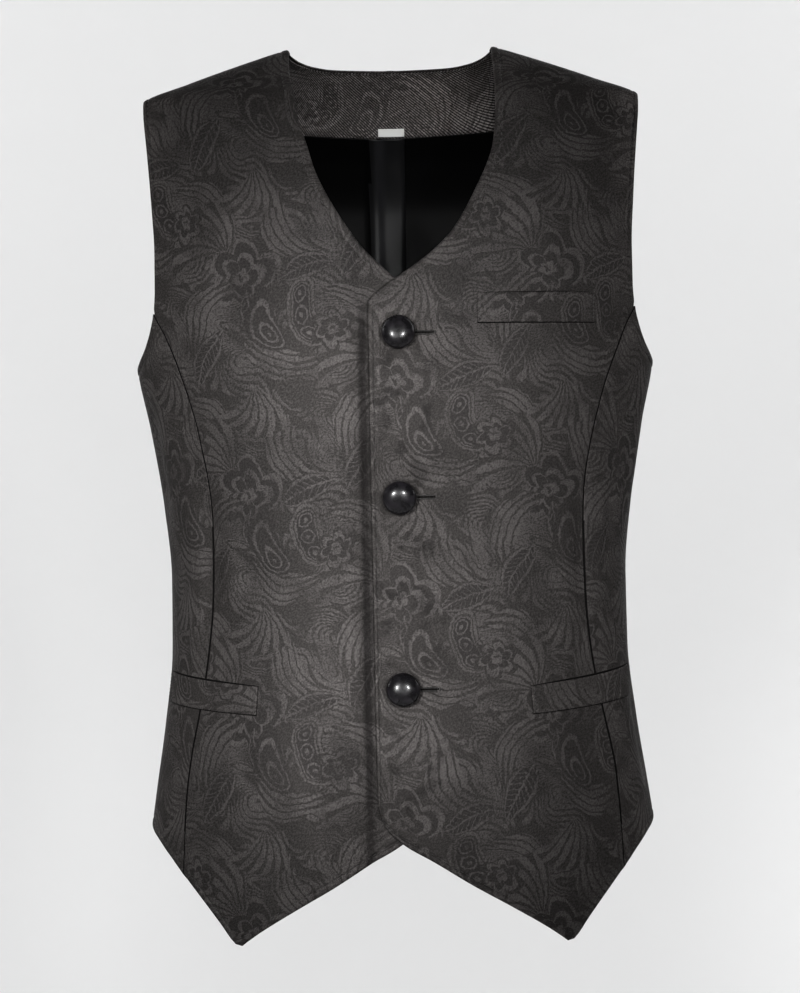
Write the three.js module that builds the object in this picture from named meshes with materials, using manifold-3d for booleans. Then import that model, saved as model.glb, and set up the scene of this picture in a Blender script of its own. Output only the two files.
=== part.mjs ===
// A suit waistcoat in the shape it has when worn, hollow, buttoned and empty.
// Millimetres. x runs to the wearer's left, y to the wearer's back, z up.
// The origin lies midway between the shoulder seams, half way down their slope.
import * as THREE from "three";
import { mergeVertices } from "three/addons/utils/BufferGeometryUtils.js";
import Module from "manifold-3d";

const wasm = await Module();
wasm.setup();

// Sizes
const NECK_POINT_HEIGHT = 18; // the neck ends of the shoulder seams above the origin
const RING_POWER = 2.3; // 2 would make every level of the body an ellipse
const SEAM_GAP = 0.3; // between panels that are sewn together
const HALF_GAP = SEAM_GAP / 2;
const FRONT_CLOTH = 2.0; // wall of the fronts, side panels and welts
const BACK_CLOTH = 1.6;
const LINING_CLOTH = 1.0;
const LINING_GAP = 0.4; // clear space between the back and its lining
const LAP_OUT = 1.3; // the left front stands out by this at the buttons
const LAP_IN = 1.8; // and the right front lies in by this
const LAP_FLAT = 24; // half width of the lapped strip
const LAP_FADE = 40; // the lap settles to nothing over this width
const WELT_LIFT = 0.7;
const BUTTON_RADIUS = 11.5;
const BUTTON_HEIGHT = 9.5;
const SHANK_RADIUS = 1.5;
const BUTTONHOLE_EYE = 2.1; // radius of the round end that the shank stands in
const BUTTONHOLE_LENGTH = 24;
const BUTTONHOLE_WIDTH = 0.9;

// Half width and half depths of the body, by the distance down from the neck points
const BODY = [
  { down: 0, half: 71, front: 26, back: 50 },
  { down: 12, half: 108, front: 42, back: 62 },
  { down: 24, half: 142.5, front: 52, back: 71 },
  { down: 36, half: 173, front: 62, back: 80 },
  { down: 50, half: 180, front: 69, back: 87 },
  { down: 75, half: 182.5, front: 81, back: 98 },
  { down: 110, half: 184, front: 96, back: 108 },
  { down: 160, half: 184, front: 109, back: 112 },
  { down: 190, half: 183, front: 115, back: 111 },
  { down: 222, half: 180, front: 119, back: 108 },
  { down: 267, half: 171, front: 119, back: 101 },
  { down: 318, half: 163, front: 114, back: 92 },
  { down: 368, half: 158.5, front: 109, back: 85 },
  { down: 419, half: 159, front: 108, back: 85 },
  { down: 469, half: 164.5, front: 110, back: 93 },
  { down: 519, half: 172, front: 112, back: 103 },
  { down: 545, half: 175.5, front: 112, back: 106 },
  { down: 620, half: 181, front: 110, back: 108 },
];

// Neck edge and front edge, as the distance across from the centre front
const NECK_AND_FRONT_EDGE = [
  { down: 0, left: 71, right: 71 },
  { down: 18, left: 71.5, right: 70 },
  { down: 37, left: 71.9, right: 66.5 },
  { down: 56, left: 71.5, right: 63 },
  { down: 74, left: 69.5, right: 57.5 },
  { down: 88, left: 65, right: 53.5 },
  { down: 100, left: 59.5, right: 48.5 },
  { down: 117, left: 51, right: 39.5 },
  { down: 134, left: 40.5, right: 28.5 },
  { down: 147, left: 28, right: 18.5 },
  { down: 159, left: 12.5, right: 6.5 },
  { down: 173, left: -8.5, right: -9 },
  { down: 183, left: -18, right: -18 },
  { down: 520, left: -17, right: -17 },
  { down: 533, left: -14, right: -14 },
];

// Armhole edge of the front down to the princess seam, then the seam itself
const ARMHOLE_FRONT = [
  { down: 36, across: 173 },
  { down: 50, across: 172 },
  { down: 75, across: 169.5 },
  { down: 110, across: 166.5 },
  { down: 145, across: 164.5 },
  { down: 170, across: 164.5 },
  { down: 186, across: 165.5 },
];
const PRINCESS_SEAM = [
  { down: 186, across: 165.5 },
  { down: 207, across: 156 },
  { down: 226, across: 147.5 },
  { down: 247, across: 140.5 },
  { down: 273, across: 134 },
  { down: 300, across: 130 },
  { down: 322, across: 128.5 },
  { down: 344, across: 128 },
  { down: 374, across: 128.5 },
  { down: 400, across: 129.5 },
  { down: 428, across: 132 },
  { down: 463, across: 138.5 },
  { down: 487, across: 143.5 },
  { down: 515, across: 147.5 },
  { down: 542, across: 149.5 },
  { down: 570, across: 151 },
];
const ARMHOLE_SIDE = [
  { down: 186, across: 165.5 },
  { down: 198, across: 168.5 },
  { down: 209, across: 172.5 },
  { down: 217, across: 177 },
  { down: 222, across: 180 },
];
const ARMHOLE_BACK = [
  { down: 36, across: 173 },
  { down: 50, across: 167 },
  { down: 75, across: 162 },
  { down: 110, across: 159 },
  { down: 150, across: 159.5 },
  { down: 185, across: 164 },
  { down: 207, across: 170 },
  { down: 217, across: 175.5 },
  { down: 222, across: 180 },
];

// Hem of a front from its lower corner to the princess seam
const HEM_FRONT = [
  { across: -14, down: 533 },
  { across: -8, down: 542 },
  { across: 3.5, down: 551 },
  { across: 20, down: 560.5 },
  { across: 46, down: 576.8 },
  { across: 75, down: 593.5 },
  { across: 98, down: 607.5 },
  { across: 108, down: 614.5 },
  { across: 112.5, down: 617.5 },
  { across: 117, down: 614 },
  { across: 125, down: 603 },
  { across: 137, down: 587.5 },
  { across: 151, down: 570 },
];
// Hem round the side and back, by the turn from the centre front in degrees
const HEM_ROUND = [
  { turn: 56.6, down: 570 },
  { turn: 65, down: 557 },
  { turn: 76, down: 546 },
  { turn: 90, down: 540 },
  { turn: 115, down: 537 },
  { turn: 145, down: 537 },
  { turn: 180, down: 539 },
];
const BACK_NECK = [
  { turn: 90, down: 0 },
  { turn: 105, down: 1 },
  { turn: 120, down: 2.6 },
  { turn: 136, down: 5 },
  { turn: 147, down: 7 },
  { turn: 159, down: 8.8 },
  { turn: 180, down: 9.8 },
];
// Lower edge of the band inside the back neck, out to the armhole
const FACING_LOW = [
  { turn: 118, down: 56 },
  { turn: 132, down: 51 },
  { turn: 148, down: 50 },
  { turn: 164, down: 52.5 },
  { turn: 180, down: 55 },
];

// Welts, by turn and by distance down: top edge and lower edge at each end
const WELTS = [
  { name: "breast_welt", from: 14.9, to: 45.4, top: [177.4, 177.4], low: [197.5, 197.5] },
  { name: "welt_left", from: 30, to: 80.3, top: [444, 432.5], low: [462.5, 452.5] },
  { name: "welt_right", from: 33.8, to: 80.3, top: [441.5, 432.5], low: [460.5, 452.5] },
];
const BUTTONS = [
  { name: "button_top", down: 204, across: 2.5 },
  { name: "button_middle", down: 314.5, across: 1.5 },
  { name: "button_bottom", down: 444.5, across: 1.7 },
];
const LABEL = { half: 9.3, top: 48, low: 53.2 };
const LINING_LAP = { left: 10, right: 9.3 }; // how far each lining half runs past the centre
const LINING_HEM_UP = 12;
const LINING_IN = 2.0; // the lining stops short of the armholes and side seams by this

// Grid of each panel
const ARMHOLE_ROWS = 11;
const FACING_ROWS = 3; // of the armhole rows of the back
const SEAM_ROWS = 18;
const FRONT_COLUMNS = 14;
const SIDE_COLUMNS = 5;
const NECK_COLUMNS = 6;
const SHOULDER_COLUMNS = 7;

// Value of one column of a table at a place between its rows, joined smoothly
function lookUp(rows, by, column, at) {
  const last = rows.length - 1;
  const slope = (k) => (rows[k + 1][column] - rows[k][column]) / (rows[k + 1][by] - rows[k][by]);
  const tangent = (k) => {
    if (k === 0) return slope(0);
    if (k === last) return slope(last - 1);
    const before = slope(k - 1);
    const after = slope(k);
    return before * after <= 0 ? 0 : (2 * before * after) / (before + after);
  };
  if (at <= rows[0][by]) return rows[0][column] + tangent(0) * (at - rows[0][by]);
  if (at >= rows[last][by]) return rows[last][column] + tangent(last) * (at - rows[last][by]);
  let k = 0;
  while (at > rows[k + 1][by]) k += 1;
  const step = rows[k + 1][by] - rows[k][by];
  const u = (at - rows[k][by]) / step;
  const v = 1 - u;
  return (
    rows[k][column] * (1 + 2 * u) * v * v +
    tangent(k) * step * u * v * v +
    rows[k + 1][column] * (1 + 2 * v) * u * u -
    tangent(k + 1) * step * v * u * u
  );
}

const bent = (value) => Math.sign(value) * Math.abs(value) ** (2 / RING_POWER);

// Point of the body's surface, by the turn from the centre front and the distance down
function bodyPoint(turn, down) {
  const sine = Math.sin(THREE.MathUtils.degToRad(turn));
  const cosine = Math.cos(THREE.MathUtils.degToRad(turn));
  const depth = lookUp(BODY, "down", cosine > 0 ? "front" : "back", down);
  const half = lookUp(BODY, "down", "half", down);
  return new THREE.Vector3(half * bent(sine), -depth * bent(cosine), NECK_POINT_HEIGHT - down);
}

function bodyNormal(turn, down) {
  const around = bodyPoint(turn + 0.2, down).sub(bodyPoint(turn - 0.2, down));
  const below = bodyPoint(turn, down + 0.2).sub(bodyPoint(turn, down - 0.2));
  return below.cross(around).normalize();
}

// Turn at which the body is this far across, on its front half
function turnAt(across, down) {
  const share = Math.min(1, Math.abs(across) / lookUp(BODY, "down", "half", down));
  const turn = THREE.MathUtils.radToDeg(Math.asin(share ** (RING_POWER / 2)));
  return Math.sign(across) * turn;
}

// An edge as a polyline of [turn, down], with the length along it from its first point
function edgeOf(places) {
  let length = 0;
  let before = null;
  return places.map(([turn, down]) => {
    const point = bodyPoint(turn, down);
    if (before) length += point.distanceTo(before);
    before = point;
    return { turn, down, length };
  });
}

// A place on an edge, by the share of its whole length
function along(edge, share) {
  const length = share * edge[edge.length - 1].length;
  let k = 0;
  while (k < edge.length - 2 && length > edge[k + 1].length) k += 1;
  const u = (length - edge[k].length) / (edge[k + 1].length - edge[k].length);
  return [
    edge[k].turn + (edge[k + 1].turn - edge[k].turn) * u,
    edge[k].down + (edge[k + 1].down - edge[k].down) * u,
  ];
}

// An edge read from a table at steps of one of its columns, closest at its start
function traced(rows, by, steps, placeAt) {
  const first = rows[0][by];
  const last = rows[rows.length - 1][by];
  const places = [];
  for (let k = 0; k <= steps; k += 1) {
    places.push(placeAt(first + (last - first) * (k / steps) ** 1.6));
  }
  return edgeOf(places);
}

const acrossEdge = (rows, column, behind) =>
  traced(rows, "down", 120, (down) => {
    const turn = turnAt(lookUp(rows, "down", column, down), down);
    return [behind ? 180 - turn : turn, down];
  });
const roundEdge = (rows) =>
  traced(rows, "turn", 120, (turn) => [turn, lookUp(rows, "turn", "down", turn)]);
const rowsFrom = (rows, by, from, to) => rows.filter((row) => row[by] >= from && row[by] <= to);
const share = (count, ease = 1) =>
  Array.from({ length: count + 1 }, (unused, k) => (k / count) ** ease);

// Places of the edges that panels share
const armholeFront = acrossEdge(ARMHOLE_FRONT, "across", false);
const princess = acrossEdge(PRINCESS_SEAM, "across", false);
const armholeSide = acrossEdge(ARMHOLE_SIDE, "across", false);
const armholeBack = acrossEdge(ARMHOLE_BACK, "across", true);
const sideSeam = edgeOf(share(60).map((u) => [90, 222 + u * 318]));
const shoulderSeam = edgeOf(share(12).map((u) => [90, 36 * u]));
const hemFront = traced(HEM_FRONT, "across", 160, (across) => {
  const down = lookUp(HEM_FRONT, "across", "down", across);
  return [turnAt(across, down), down];
});
const hemSide = roundEdge(rowsFrom(HEM_ROUND, "turn", 56, 90));
const hemBack = roundEdge(rowsFrom(HEM_ROUND, "turn", 90, 180));
const backNeck = roundEdge(BACK_NECK);

const armholeRows = share(ARMHOLE_ROWS, 1.25);
const seamRows = share(SEAM_ROWS);
const outerRows = [
  ...armholeRows.map((u) => along(armholeFront, u)),
  ...seamRows.slice(1).map((u) => along(princess, u)),
];
const facingEnd = armholeBack.find((place) => place.down >= FACING_LOW[0].down);
const facingShare = facingEnd.length / armholeBack[armholeBack.length - 1].length;
const backOuterRows = [
  ...share(FACING_ROWS).map((u) => along(armholeBack, u * facingShare)),
  ...share(ARMHOLE_ROWS - FACING_ROWS)
    .slice(1)
    .map((u) => along(armholeBack, facingShare + (1 - facingShare) * u)),
  ...seamRows.slice(1).map((u) => along(sideSeam, u)),
];

// Fills a grid between four edges that meet at the corners, rows by columns
function fillGrid(left, right, top, low) {
  const m = left.length - 1;
  const n = top.length - 1;
  return left.map((unused, j) =>
    top.map((unusedToo, i) => {
      const s = i / n;
      const t = j / m;
      return [0, 1].map(
        (k) =>
          (1 - s) * left[j][k] +
          s * right[j][k] +
          (1 - t) * top[i][k] +
          t * low[i][k] -
          (1 - s) * ((1 - t) * top[0][k] + t * low[0][k]) -
          s * ((1 - t) * top[n][k] + t * low[n][k]),
      );
    }),
  );
}

// A closed cloth wall over a grid of places. Each named edge is drawn back by its
// amount, and the lift moves the wall in or out.
function clothWall(grid, wall, { back = {}, lift = () => 0, mirror = false } = {}) {
  const m = grid.length - 1;
  const n = grid[0].length - 1;
  const points = grid.map((row) => row.map(([turn, down]) => bodyPoint(turn, down)));
  const normals = grid.map((row) => row.map(([turn, down]) => bodyNormal(turn, down)));
  const moved = points.map((row) => row.map((point) => point.clone()));
  const drawBack = (j, i, next, amount) => {
    moved[j][i].addScaledVector(next.clone().sub(points[j][i]).normalize(), amount);
  };
  for (let j = 0; j <= m; j += 1) {
    if (back.left) drawBack(j, 0, points[j][1], back.left);
    if (back.right) drawBack(j, n, points[j][n - 1], back.right);
  }
  for (let i = 0; i <= n; i += 1) {
    if (back.top) drawBack(0, i, points[1][i], back.top);
    if (back.low) drawBack(m, i, points[m - 1][i], back.low);
  }
  const positions = [];
  const flip = mirror ? -1 : 1;
  for (const inner of [0, wall]) {
    for (let j = 0; j <= m; j += 1) {
      for (let i = 0; i <= n; i += 1) {
        const rise = lift(points[j][i].x, grid[j][i][1]) - inner;
        const point = moved[j][i].clone().addScaledVector(normals[j][i], rise);
        positions.push(point.x * flip, point.y, point.z);
      }
    }
  }
  const count = (m + 1) * (n + 1);
  const at = (j, i) => j * (n + 1) + i;
  const faces = [];
  const quad = (a, b, c, d) => faces.push([a, b, c], [a, c, d]);
  for (let j = 0; j < m; j += 1) {
    for (let i = 0; i < n; i += 1) {
      const corners = [at(j, i), at(j + 1, i), at(j + 1, i + 1), at(j, i + 1)];
      if (grid[j][i][0] > 179.9) corners.push(corners.shift()); // mirrored past the centre back
      const [a, b, c, d] = corners;
      quad(a, b, c, d);
      quad(count + c, count + b, count + a, count + d);
    }
  }
  const loop = [];
  for (let i = 0; i < n; i += 1) loop.push(at(0, i));
  for (let j = 0; j < m; j += 1) loop.push(at(j, n));
  for (let i = n; i > 0; i -= 1) loop.push(at(m, i));
  for (let j = m; j > 0; j -= 1) loop.push(at(j, 0));
  loop.forEach((a, k) => {
    const b = loop[(k + 1) % loop.length];
    quad(a, b, count + b, count + a);
  });
  const geometry = new THREE.BufferGeometry();
  geometry.setAttribute("position", new THREE.Float32BufferAttribute(positions, 3));
  geometry.setIndex(faces.flatMap(([a, b, c]) => (mirror ? [a, c, b] : [a, b, c])));
  return geometry;
}

const fade = (distance) => {
  const u = THREE.MathUtils.clamp(1 - distance / LAP_FADE, 0, 1);
  return u * u * (3 - 2 * u);
};
const lapOut = (x) => LAP_OUT * fade(x - LAP_FLAT);
const lapIn = (x) => -LAP_IN * fade(x - LAP_FLAT);

const jacquard = (name) =>
  new THREE.MeshStandardMaterial({ name, color: 0x3b3937, roughness: 0.55, metalness: 0 });
const satin = new THREE.MeshStandardMaterial({ color: 0x0c0c0d, roughness: 0.35, metalness: 0 });
const white = new THREE.MeshStandardMaterial({ color: 0xdcdcda, roughness: 0.7, metalness: 0 });
const pearl = new THREE.MeshStandardMaterial({ color: 0x1d1c1e, roughness: 0.15, metalness: 0.6 });

const waistcoat = new THREE.Group();
waistcoat.name = "suit_waistcoat";
function addPiece(name, geometry, material) {
  geometry.computeVertexNormals();
  const mesh = new THREE.Mesh(geometry, material);
  mesh.name = name;
  waistcoat.add(mesh);
}

// Cuts or joins of two closed geometries
function solidOf(geometry) {
  const bare = geometry.clone();
  bare.deleteAttribute("normal");
  bare.deleteAttribute("uv");
  const merged = mergeVertices(bare, 1e-4);
  const kept = [];
  const index = merged.index.array;
  for (let k = 0; k < index.length; k += 3) {
    const [a, b, c] = [index[k], index[k + 1], index[k + 2]];
    if (a !== b && b !== c && a !== c) kept.push(a, b, c);
  }
  const vertProperties = new Float32Array(merged.attributes.position.array);
  const triVerts = new Uint32Array(kept);
  return new wasm.Manifold(new wasm.Mesh({ numProp: 3, vertProperties, triVerts }));
}
function geometryOf(solid) {
  const mesh = solid.getMesh();
  const geometry = new THREE.BufferGeometry();
  geometry.setAttribute("position", new THREE.Float32BufferAttribute(mesh.vertProperties, 3));
  geometry.setIndex(Array.from(mesh.triVerts));
  return geometry;
}

// Fronts, with the buttonholes cut through the left one
const frontGrid = (side) => {
  const rows = NECK_AND_FRONT_EDGE;
  const inner = acrossEdge(rows, side, false);
  const outerEdge = edgeOf(outerRows);
  const whole = outerEdge[outerEdge.length - 1].length;
  return fillGrid(
    outerEdge.map((place) => along(inner, place.length / whole)),
    outerRows,
    share(FRONT_COLUMNS).map((u) => along(shoulderSeam, u)),
    share(FRONT_COLUMNS).map((u) => along(hemFront, u)),
  );
};
const seat = (button, rise) => {
  const turn = turnAt(button.across, button.down);
  return bodyPoint(turn, button.down).addScaledVector(bodyNormal(turn, button.down), rise);
};
const facingOut = (button) => {
  const normal = bodyNormal(turnAt(button.across, button.down), button.down);
  return new THREE.Quaternion().setFromUnitVectors(new THREE.Vector3(0, 1, 0), normal);
};
let leftFront = solidOf(
  clothWall(frontGrid("left"), FRONT_CLOTH, { back: { right: HALF_GAP, top: HALF_GAP }, lift: lapOut }),
);
for (const button of BUTTONS) {
  const eye = new THREE.CylinderGeometry(BUTTONHOLE_EYE, BUTTONHOLE_EYE, 12, 16);
  const slit = new THREE.BoxGeometry(BUTTONHOLE_LENGTH, 12, BUTTONHOLE_WIDTH);
  slit.translate(BUTTONHOLE_LENGTH / 2, 0, 0);
  const centre = seat(button, 0);
  for (const tool of [eye, slit]) {
    tool.applyQuaternion(facingOut(button));
    tool.translate(centre.x, centre.y, centre.z);
    leftFront = leftFront.subtract(solidOf(tool));
  }
}
addPiece("front_left", geometryOf(leftFront), jacquard("front"));
const rightFront = clothWall(frontGrid("right"), FRONT_CLOTH, {
  back: { right: HALF_GAP, top: HALF_GAP },
  lift: lapIn,
  mirror: true,
});
addPiece("front_right", rightFront, jacquard("front"));

// Side panels, between the princess seam and the side seam
const sideGrid = fillGrid(
  seamRows.map((u) => along(princess, u)),
  seamRows.map((u) => along(sideSeam, u)),
  share(SIDE_COLUMNS).map((u) => along(armholeSide, u)),
  share(SIDE_COLUMNS).map((u) => along(hemSide, u)),
);
for (const [name, mirror] of [["side_left", false], ["side_right", true]]) {
  const wall = clothWall(sideGrid, FRONT_CLOTH, { back: { left: HALF_GAP, right: HALF_GAP }, mirror });
  addPiece(name, wall, jacquard("side"));
}

// Backs, from the side seam and shoulder seam to the centre back
const reversed = (grid) => grid.map((row) => [...row].reverse());
const backColumns = NECK_COLUMNS + SHOULDER_COLUMNS;
const backTop = [
  ...share(NECK_COLUMNS).map((u) => along(backNeck, 1 - u)),
  ...share(SHOULDER_COLUMNS).slice(1).map((u) => along(shoulderSeam, u)),
];
const backLow = share(backColumns).map((u) => along(hemBack, 1 - u));
const facingLow = share(backColumns).map((u) => {
  const turn = 180 + (backOuterRows[FACING_ROWS][0] - 180) * u;
  return [turn, lookUp(FACING_LOW, "turn", "down", turn)];
});
facingLow[backColumns] = backOuterRows[FACING_ROWS];
// The shoulder seam is all at one turn, so the band is filled in as seen from above
const asPlan = ([turn, down]) => {
  const point = bodyPoint(turn, down);
  return [point.x, point.y];
};
function fromPlan([x, y]) {
  const share = (down, value, column) =>
    (Math.max(0, value) / lookUp(BODY, "down", column, down)) ** RING_POWER;
  let [high, low] = [0, 110];
  for (let k = 0; k < 40; k += 1) {
    const down = (high + low) / 2;
    if (share(down, x, "half") + share(down, y, "back") > 1) high = down;
    else low = down;
  }
  const across = Math.sqrt(share(low, x, "half"));
  return [180 - THREE.MathUtils.radToDeg(Math.atan2(across, Math.sqrt(share(low, y, "back")))), low];
}
const centreTop = backTop[0][1];
const bandGrid = fillGrid(
  share(FACING_ROWS).map((u) => asPlan([180, centreTop + (facingLow[0][1] - centreTop) * u])),
  backOuterRows.slice(0, FACING_ROWS + 1).map(asPlan),
  backTop.map(asPlan),
  facingLow.map(asPlan),
).map((row) => row.map(fromPlan));
bandGrid[0] = backTop;
bandGrid[FACING_ROWS] = facingLow;
const restOuter = backOuterRows.slice(FACING_ROWS);
const restLength = edgeOf(restOuter);
const restGrid = fillGrid(
  restLength.map((place) => {
    const u = place.length / restLength[restLength.length - 1].length;
    return [180, facingLow[0][1] + (backLow[0][1] - facingLow[0][1]) * u];
  }),
  restOuter,
  facingLow,
  backLow,
);
const backGrid = reversed([...bandGrid, ...restGrid.slice(1)]);
for (const [name, mirror] of [["back_left", false], ["back_right", true]]) {
  const wall = clothWall(backGrid, BACK_CLOTH, {
    back: { left: HALF_GAP, right: HALF_GAP, top: HALF_GAP },
    mirror,
  });
  addPiece(name, wall, jacquard("back"));
}

// Band inside the back neck, on the points of both backs, and the tab on its lower edge
const inside = BACK_CLOTH + LINING_GAP;
const bothBacks = backGrid.map((row) => [
  ...row,
  ...[...row].reverse().slice(1).map(([turn, down]) => [360 - turn, down]),
]);
const facingWall = clothWall(bothBacks.slice(0, FACING_ROWS + 1), LINING_CLOTH, {
  back: { left: LINING_IN, right: LINING_IN, top: LINING_IN / 2, low: HALF_GAP },
  lift: () => -inside,
});
addPiece("back_neck_facing", facingWall, jacquard("facing"));

const tabTurn = turnAt(LABEL.half, LABEL.low);
const tabGrid = [LABEL.top, LABEL.low].map((down) =>
  share(4).map((u) => [180 + tabTurn * (2 * u - 1), down]),
);
const tabWall = clothWall(tabGrid, LINING_CLOTH, { lift: () => -inside - LINING_CLOTH - 0.5 });
addPiece("neck_label", tabWall, white);

// Lining halves on the points of the backs: the right one laps over the left
function liningGrid(pastCentre) {
  const rows = backGrid.slice(FACING_ROWS);
  return rows.map((row, j) => {
    const up = j === rows.length - 1 ? LINING_HEM_UP : 0;
    const [turn, down] = row[row.length - 1];
    const lapped = [...row, [turn + turnAt(pastCentre, down), down]];
    return lapped.map((place) => [place[0], place[1] - up]);
  });
}
const liningBack = { left: LINING_IN, top: HALF_GAP };
const underWall = clothWall(liningGrid(LINING_LAP.left), LINING_CLOTH, {
  back: liningBack,
  lift: () => -inside,
});
addPiece("lining_left", underWall, satin);
const overWall = clothWall(liningGrid(LINING_LAP.right), LINING_CLOTH, {
  back: liningBack,
  lift: (x) => -inside - (LINING_CLOTH + 0.4) * fade(x - LAP_FLAT),
  mirror: true,
});
addPiece("lining_right", overWall, satin);

// Welts lie on the panels
for (const welt of WELTS) {
  const columns = Math.round((welt.to - welt.from) / 4.5);
  const grid = share(2).map((v) =>
    share(columns).map((u) => {
      const high = welt.top[0] + (welt.top[1] - welt.top[0]) * u;
      const low = welt.low[0] + (welt.low[1] - welt.low[0]) * u;
      return [welt.from + (welt.to - welt.from) * u, high + (low - high) * v];
    }),
  );
  const right = welt.name === "welt_right";
  const wall = clothWall(grid, FRONT_CLOTH, {
    lift: (x) => (right ? lapIn(x) : lapOut(x)) + WELT_LIFT + FRONT_CLOTH,
    mirror: right,
  });
  addPiece(welt.name, wall, jacquard("welt"));
}

// Domed buttons, each on a shank that stands through its buttonhole
const floor = -LAP_IN + SEAM_GAP;
const base = LAP_OUT + 0.5;
const buttonProfile = [
  [0, floor],
  [SHANK_RADIUS, floor],
  [SHANK_RADIUS, base],
  [BUTTON_RADIUS * 0.72, base],
  [BUTTON_RADIUS * 0.93, base + 1.4],
];
for (let k = 0; k <= 7; k += 1) {
  const angle = (k / 7) * (Math.PI / 2);
  const radius = k === 7 ? 0 : BUTTON_RADIUS * Math.cos(angle) ** 0.85;
  buttonProfile.push([radius, base + 3.2 + (BUTTON_HEIGHT - 3.2) * Math.sin(angle)]);
}
const profile = buttonProfile.map(([radius, height]) => new THREE.Vector2(radius, height));
for (const button of BUTTONS) {
  const turned = geometryOf(solidOf(new THREE.LatheGeometry(profile, 24)));
  turned.applyQuaternion(facingOut(button));
  const centre = seat(button, 0);
  turned.translate(centre.x, centre.y, centre.z);
  addPiece(button.name, turned, pearl);
}

export default waistcoat;
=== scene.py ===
"""A suit waistcoat as it looks when worn: jacquard panels, satin lining, welts, buttons and stitching."""

import math

import bpy
import numpy as np
from bpy.props import FloatProperty, FloatVectorProperty, PointerProperty
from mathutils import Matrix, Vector


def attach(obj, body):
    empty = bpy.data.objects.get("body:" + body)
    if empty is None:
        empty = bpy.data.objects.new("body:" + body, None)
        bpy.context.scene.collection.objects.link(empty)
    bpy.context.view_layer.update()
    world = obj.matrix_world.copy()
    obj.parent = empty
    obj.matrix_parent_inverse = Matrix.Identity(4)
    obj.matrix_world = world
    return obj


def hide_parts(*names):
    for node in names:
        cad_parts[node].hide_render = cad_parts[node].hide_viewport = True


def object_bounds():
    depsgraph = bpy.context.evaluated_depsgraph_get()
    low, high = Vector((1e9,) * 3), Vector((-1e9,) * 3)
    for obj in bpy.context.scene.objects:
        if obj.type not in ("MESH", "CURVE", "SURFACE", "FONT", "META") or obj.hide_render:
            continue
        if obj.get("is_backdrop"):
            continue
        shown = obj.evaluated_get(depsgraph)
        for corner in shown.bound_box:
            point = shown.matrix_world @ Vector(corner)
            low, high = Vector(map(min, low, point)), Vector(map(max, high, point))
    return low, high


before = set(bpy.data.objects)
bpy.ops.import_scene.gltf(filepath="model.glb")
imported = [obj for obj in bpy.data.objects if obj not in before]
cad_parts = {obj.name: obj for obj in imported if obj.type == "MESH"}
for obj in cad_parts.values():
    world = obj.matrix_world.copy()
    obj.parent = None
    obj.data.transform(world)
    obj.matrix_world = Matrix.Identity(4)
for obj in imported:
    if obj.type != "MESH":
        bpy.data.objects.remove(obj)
CAD_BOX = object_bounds()

bl_info = {
    "name": "Suit waistcoat",
    "version": (1, 0, 0),
    "blender": (4, 5, 0),
    "location": "View3D > Sidebar > Waistcoat",
    "description": "Builds a suit waistcoat in jacquard with a satin lining",
    "category": "Object",
}

MM = 0.001

# Shape of the body, in millimetres, the same as the solids'
NECK_POINT_HEIGHT = 18.0
RING_POWER = 2.3
HALF_GAP = 0.15
FRONT_CLOTH = 2.0
BACK_CLOTH = 1.6
LINING_CLOTH = 1.0
LINING_GAP = 0.4
LAP_OUT = 1.3
LAP_IN = 1.8
LAP_FLAT = 24.0
LAP_FADE = 40.0
BUTTON_RADIUS = 11.5
BUTTON_HEIGHT = 9.5
LINING_IN = 2.0
LINING_HEM_UP = 12.0
CENTRE_FRONT_HOLE = 24.0
STITCH_INSET = 5.4
WELT_CLOTH = 1.2
CREASE_GAIN = 1.25
DEGREE_LENGTH = 2.6

# Where a shell counts as sewn down: how much of the edge is a seam, and how wide the painted seam shade
# beside it is
SEWN_SHARE = 0.3
SEAM_SHADE_WIDTH = 0.8
NOT_SEWN = 99.0

# The cloth around a button: depth and width of its dimple, and the small folds that circle it
DIMPLE_DEPTH, DIMPLE_WIDTH = 0.9, 13.5
PUCKER_DEPTH, PUCKER_FAR, PUCKER_WIDTH, PUCKERS = 0.22, 14.5, 4.0, 9


def table(columns, *rows):
    """A short table as one array for each named column."""
    return {name: np.array(values, float) for name, values in zip(columns.split(), zip(*rows))}


BODY = table(
    "down half front back",
    (0, 71, 26, 50), (12, 108, 42, 62), (24, 142.5, 52, 71), (36, 173, 62, 80), (50, 180, 69, 87),
    (75, 182.5, 81, 98), (110, 184, 96, 108), (160, 184, 109, 112), (190, 183, 115, 111),
    (222, 180, 119, 108), (267, 171, 119, 101), (318, 163, 114, 92), (368, 158.5, 109, 85),
    (419, 159, 108, 85), (469, 164.5, 110, 93), (519, 172, 112, 103), (545, 175.5, 112, 106),
    (620, 181, 110, 108),
)
NECK_AND_FRONT_EDGE = table(
    "down left right",
    (0, 71, 71), (18, 71.5, 70), (37, 71.9, 66.5), (56, 71.5, 63), (74, 69.5, 57.5),
    (88, 65, 53.5), (100, 59.5, 48.5), (117, 51, 39.5), (134, 40.5, 28.5), (147, 28, 18.5),
    (159, 12.5, 6.5), (173, -8.5, -9), (183, -18, -18), (520, -17, -17), (533, -14, -14),
)
ARMHOLE_FRONT = table(
    "down across",
    (36, 173), (50, 172), (75, 169.5), (110, 166.5), (145, 164.5), (170, 164.5), (186, 165.5),
)
PRINCESS_SEAM = table(
    "down across",
    (186, 165.5), (207, 156), (226, 147.5), (247, 140.5), (273, 134), (300, 130), (322, 128.5),
    (344, 128), (374, 128.5), (400, 129.5), (428, 132), (463, 138.5), (487, 143.5),
    (515, 147.5), (542, 149.5), (570, 151),
)
ARMHOLE_SIDE = table("down across", (186, 165.5), (198, 168.5), (209, 172.5), (217, 177), (222, 180))
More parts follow.
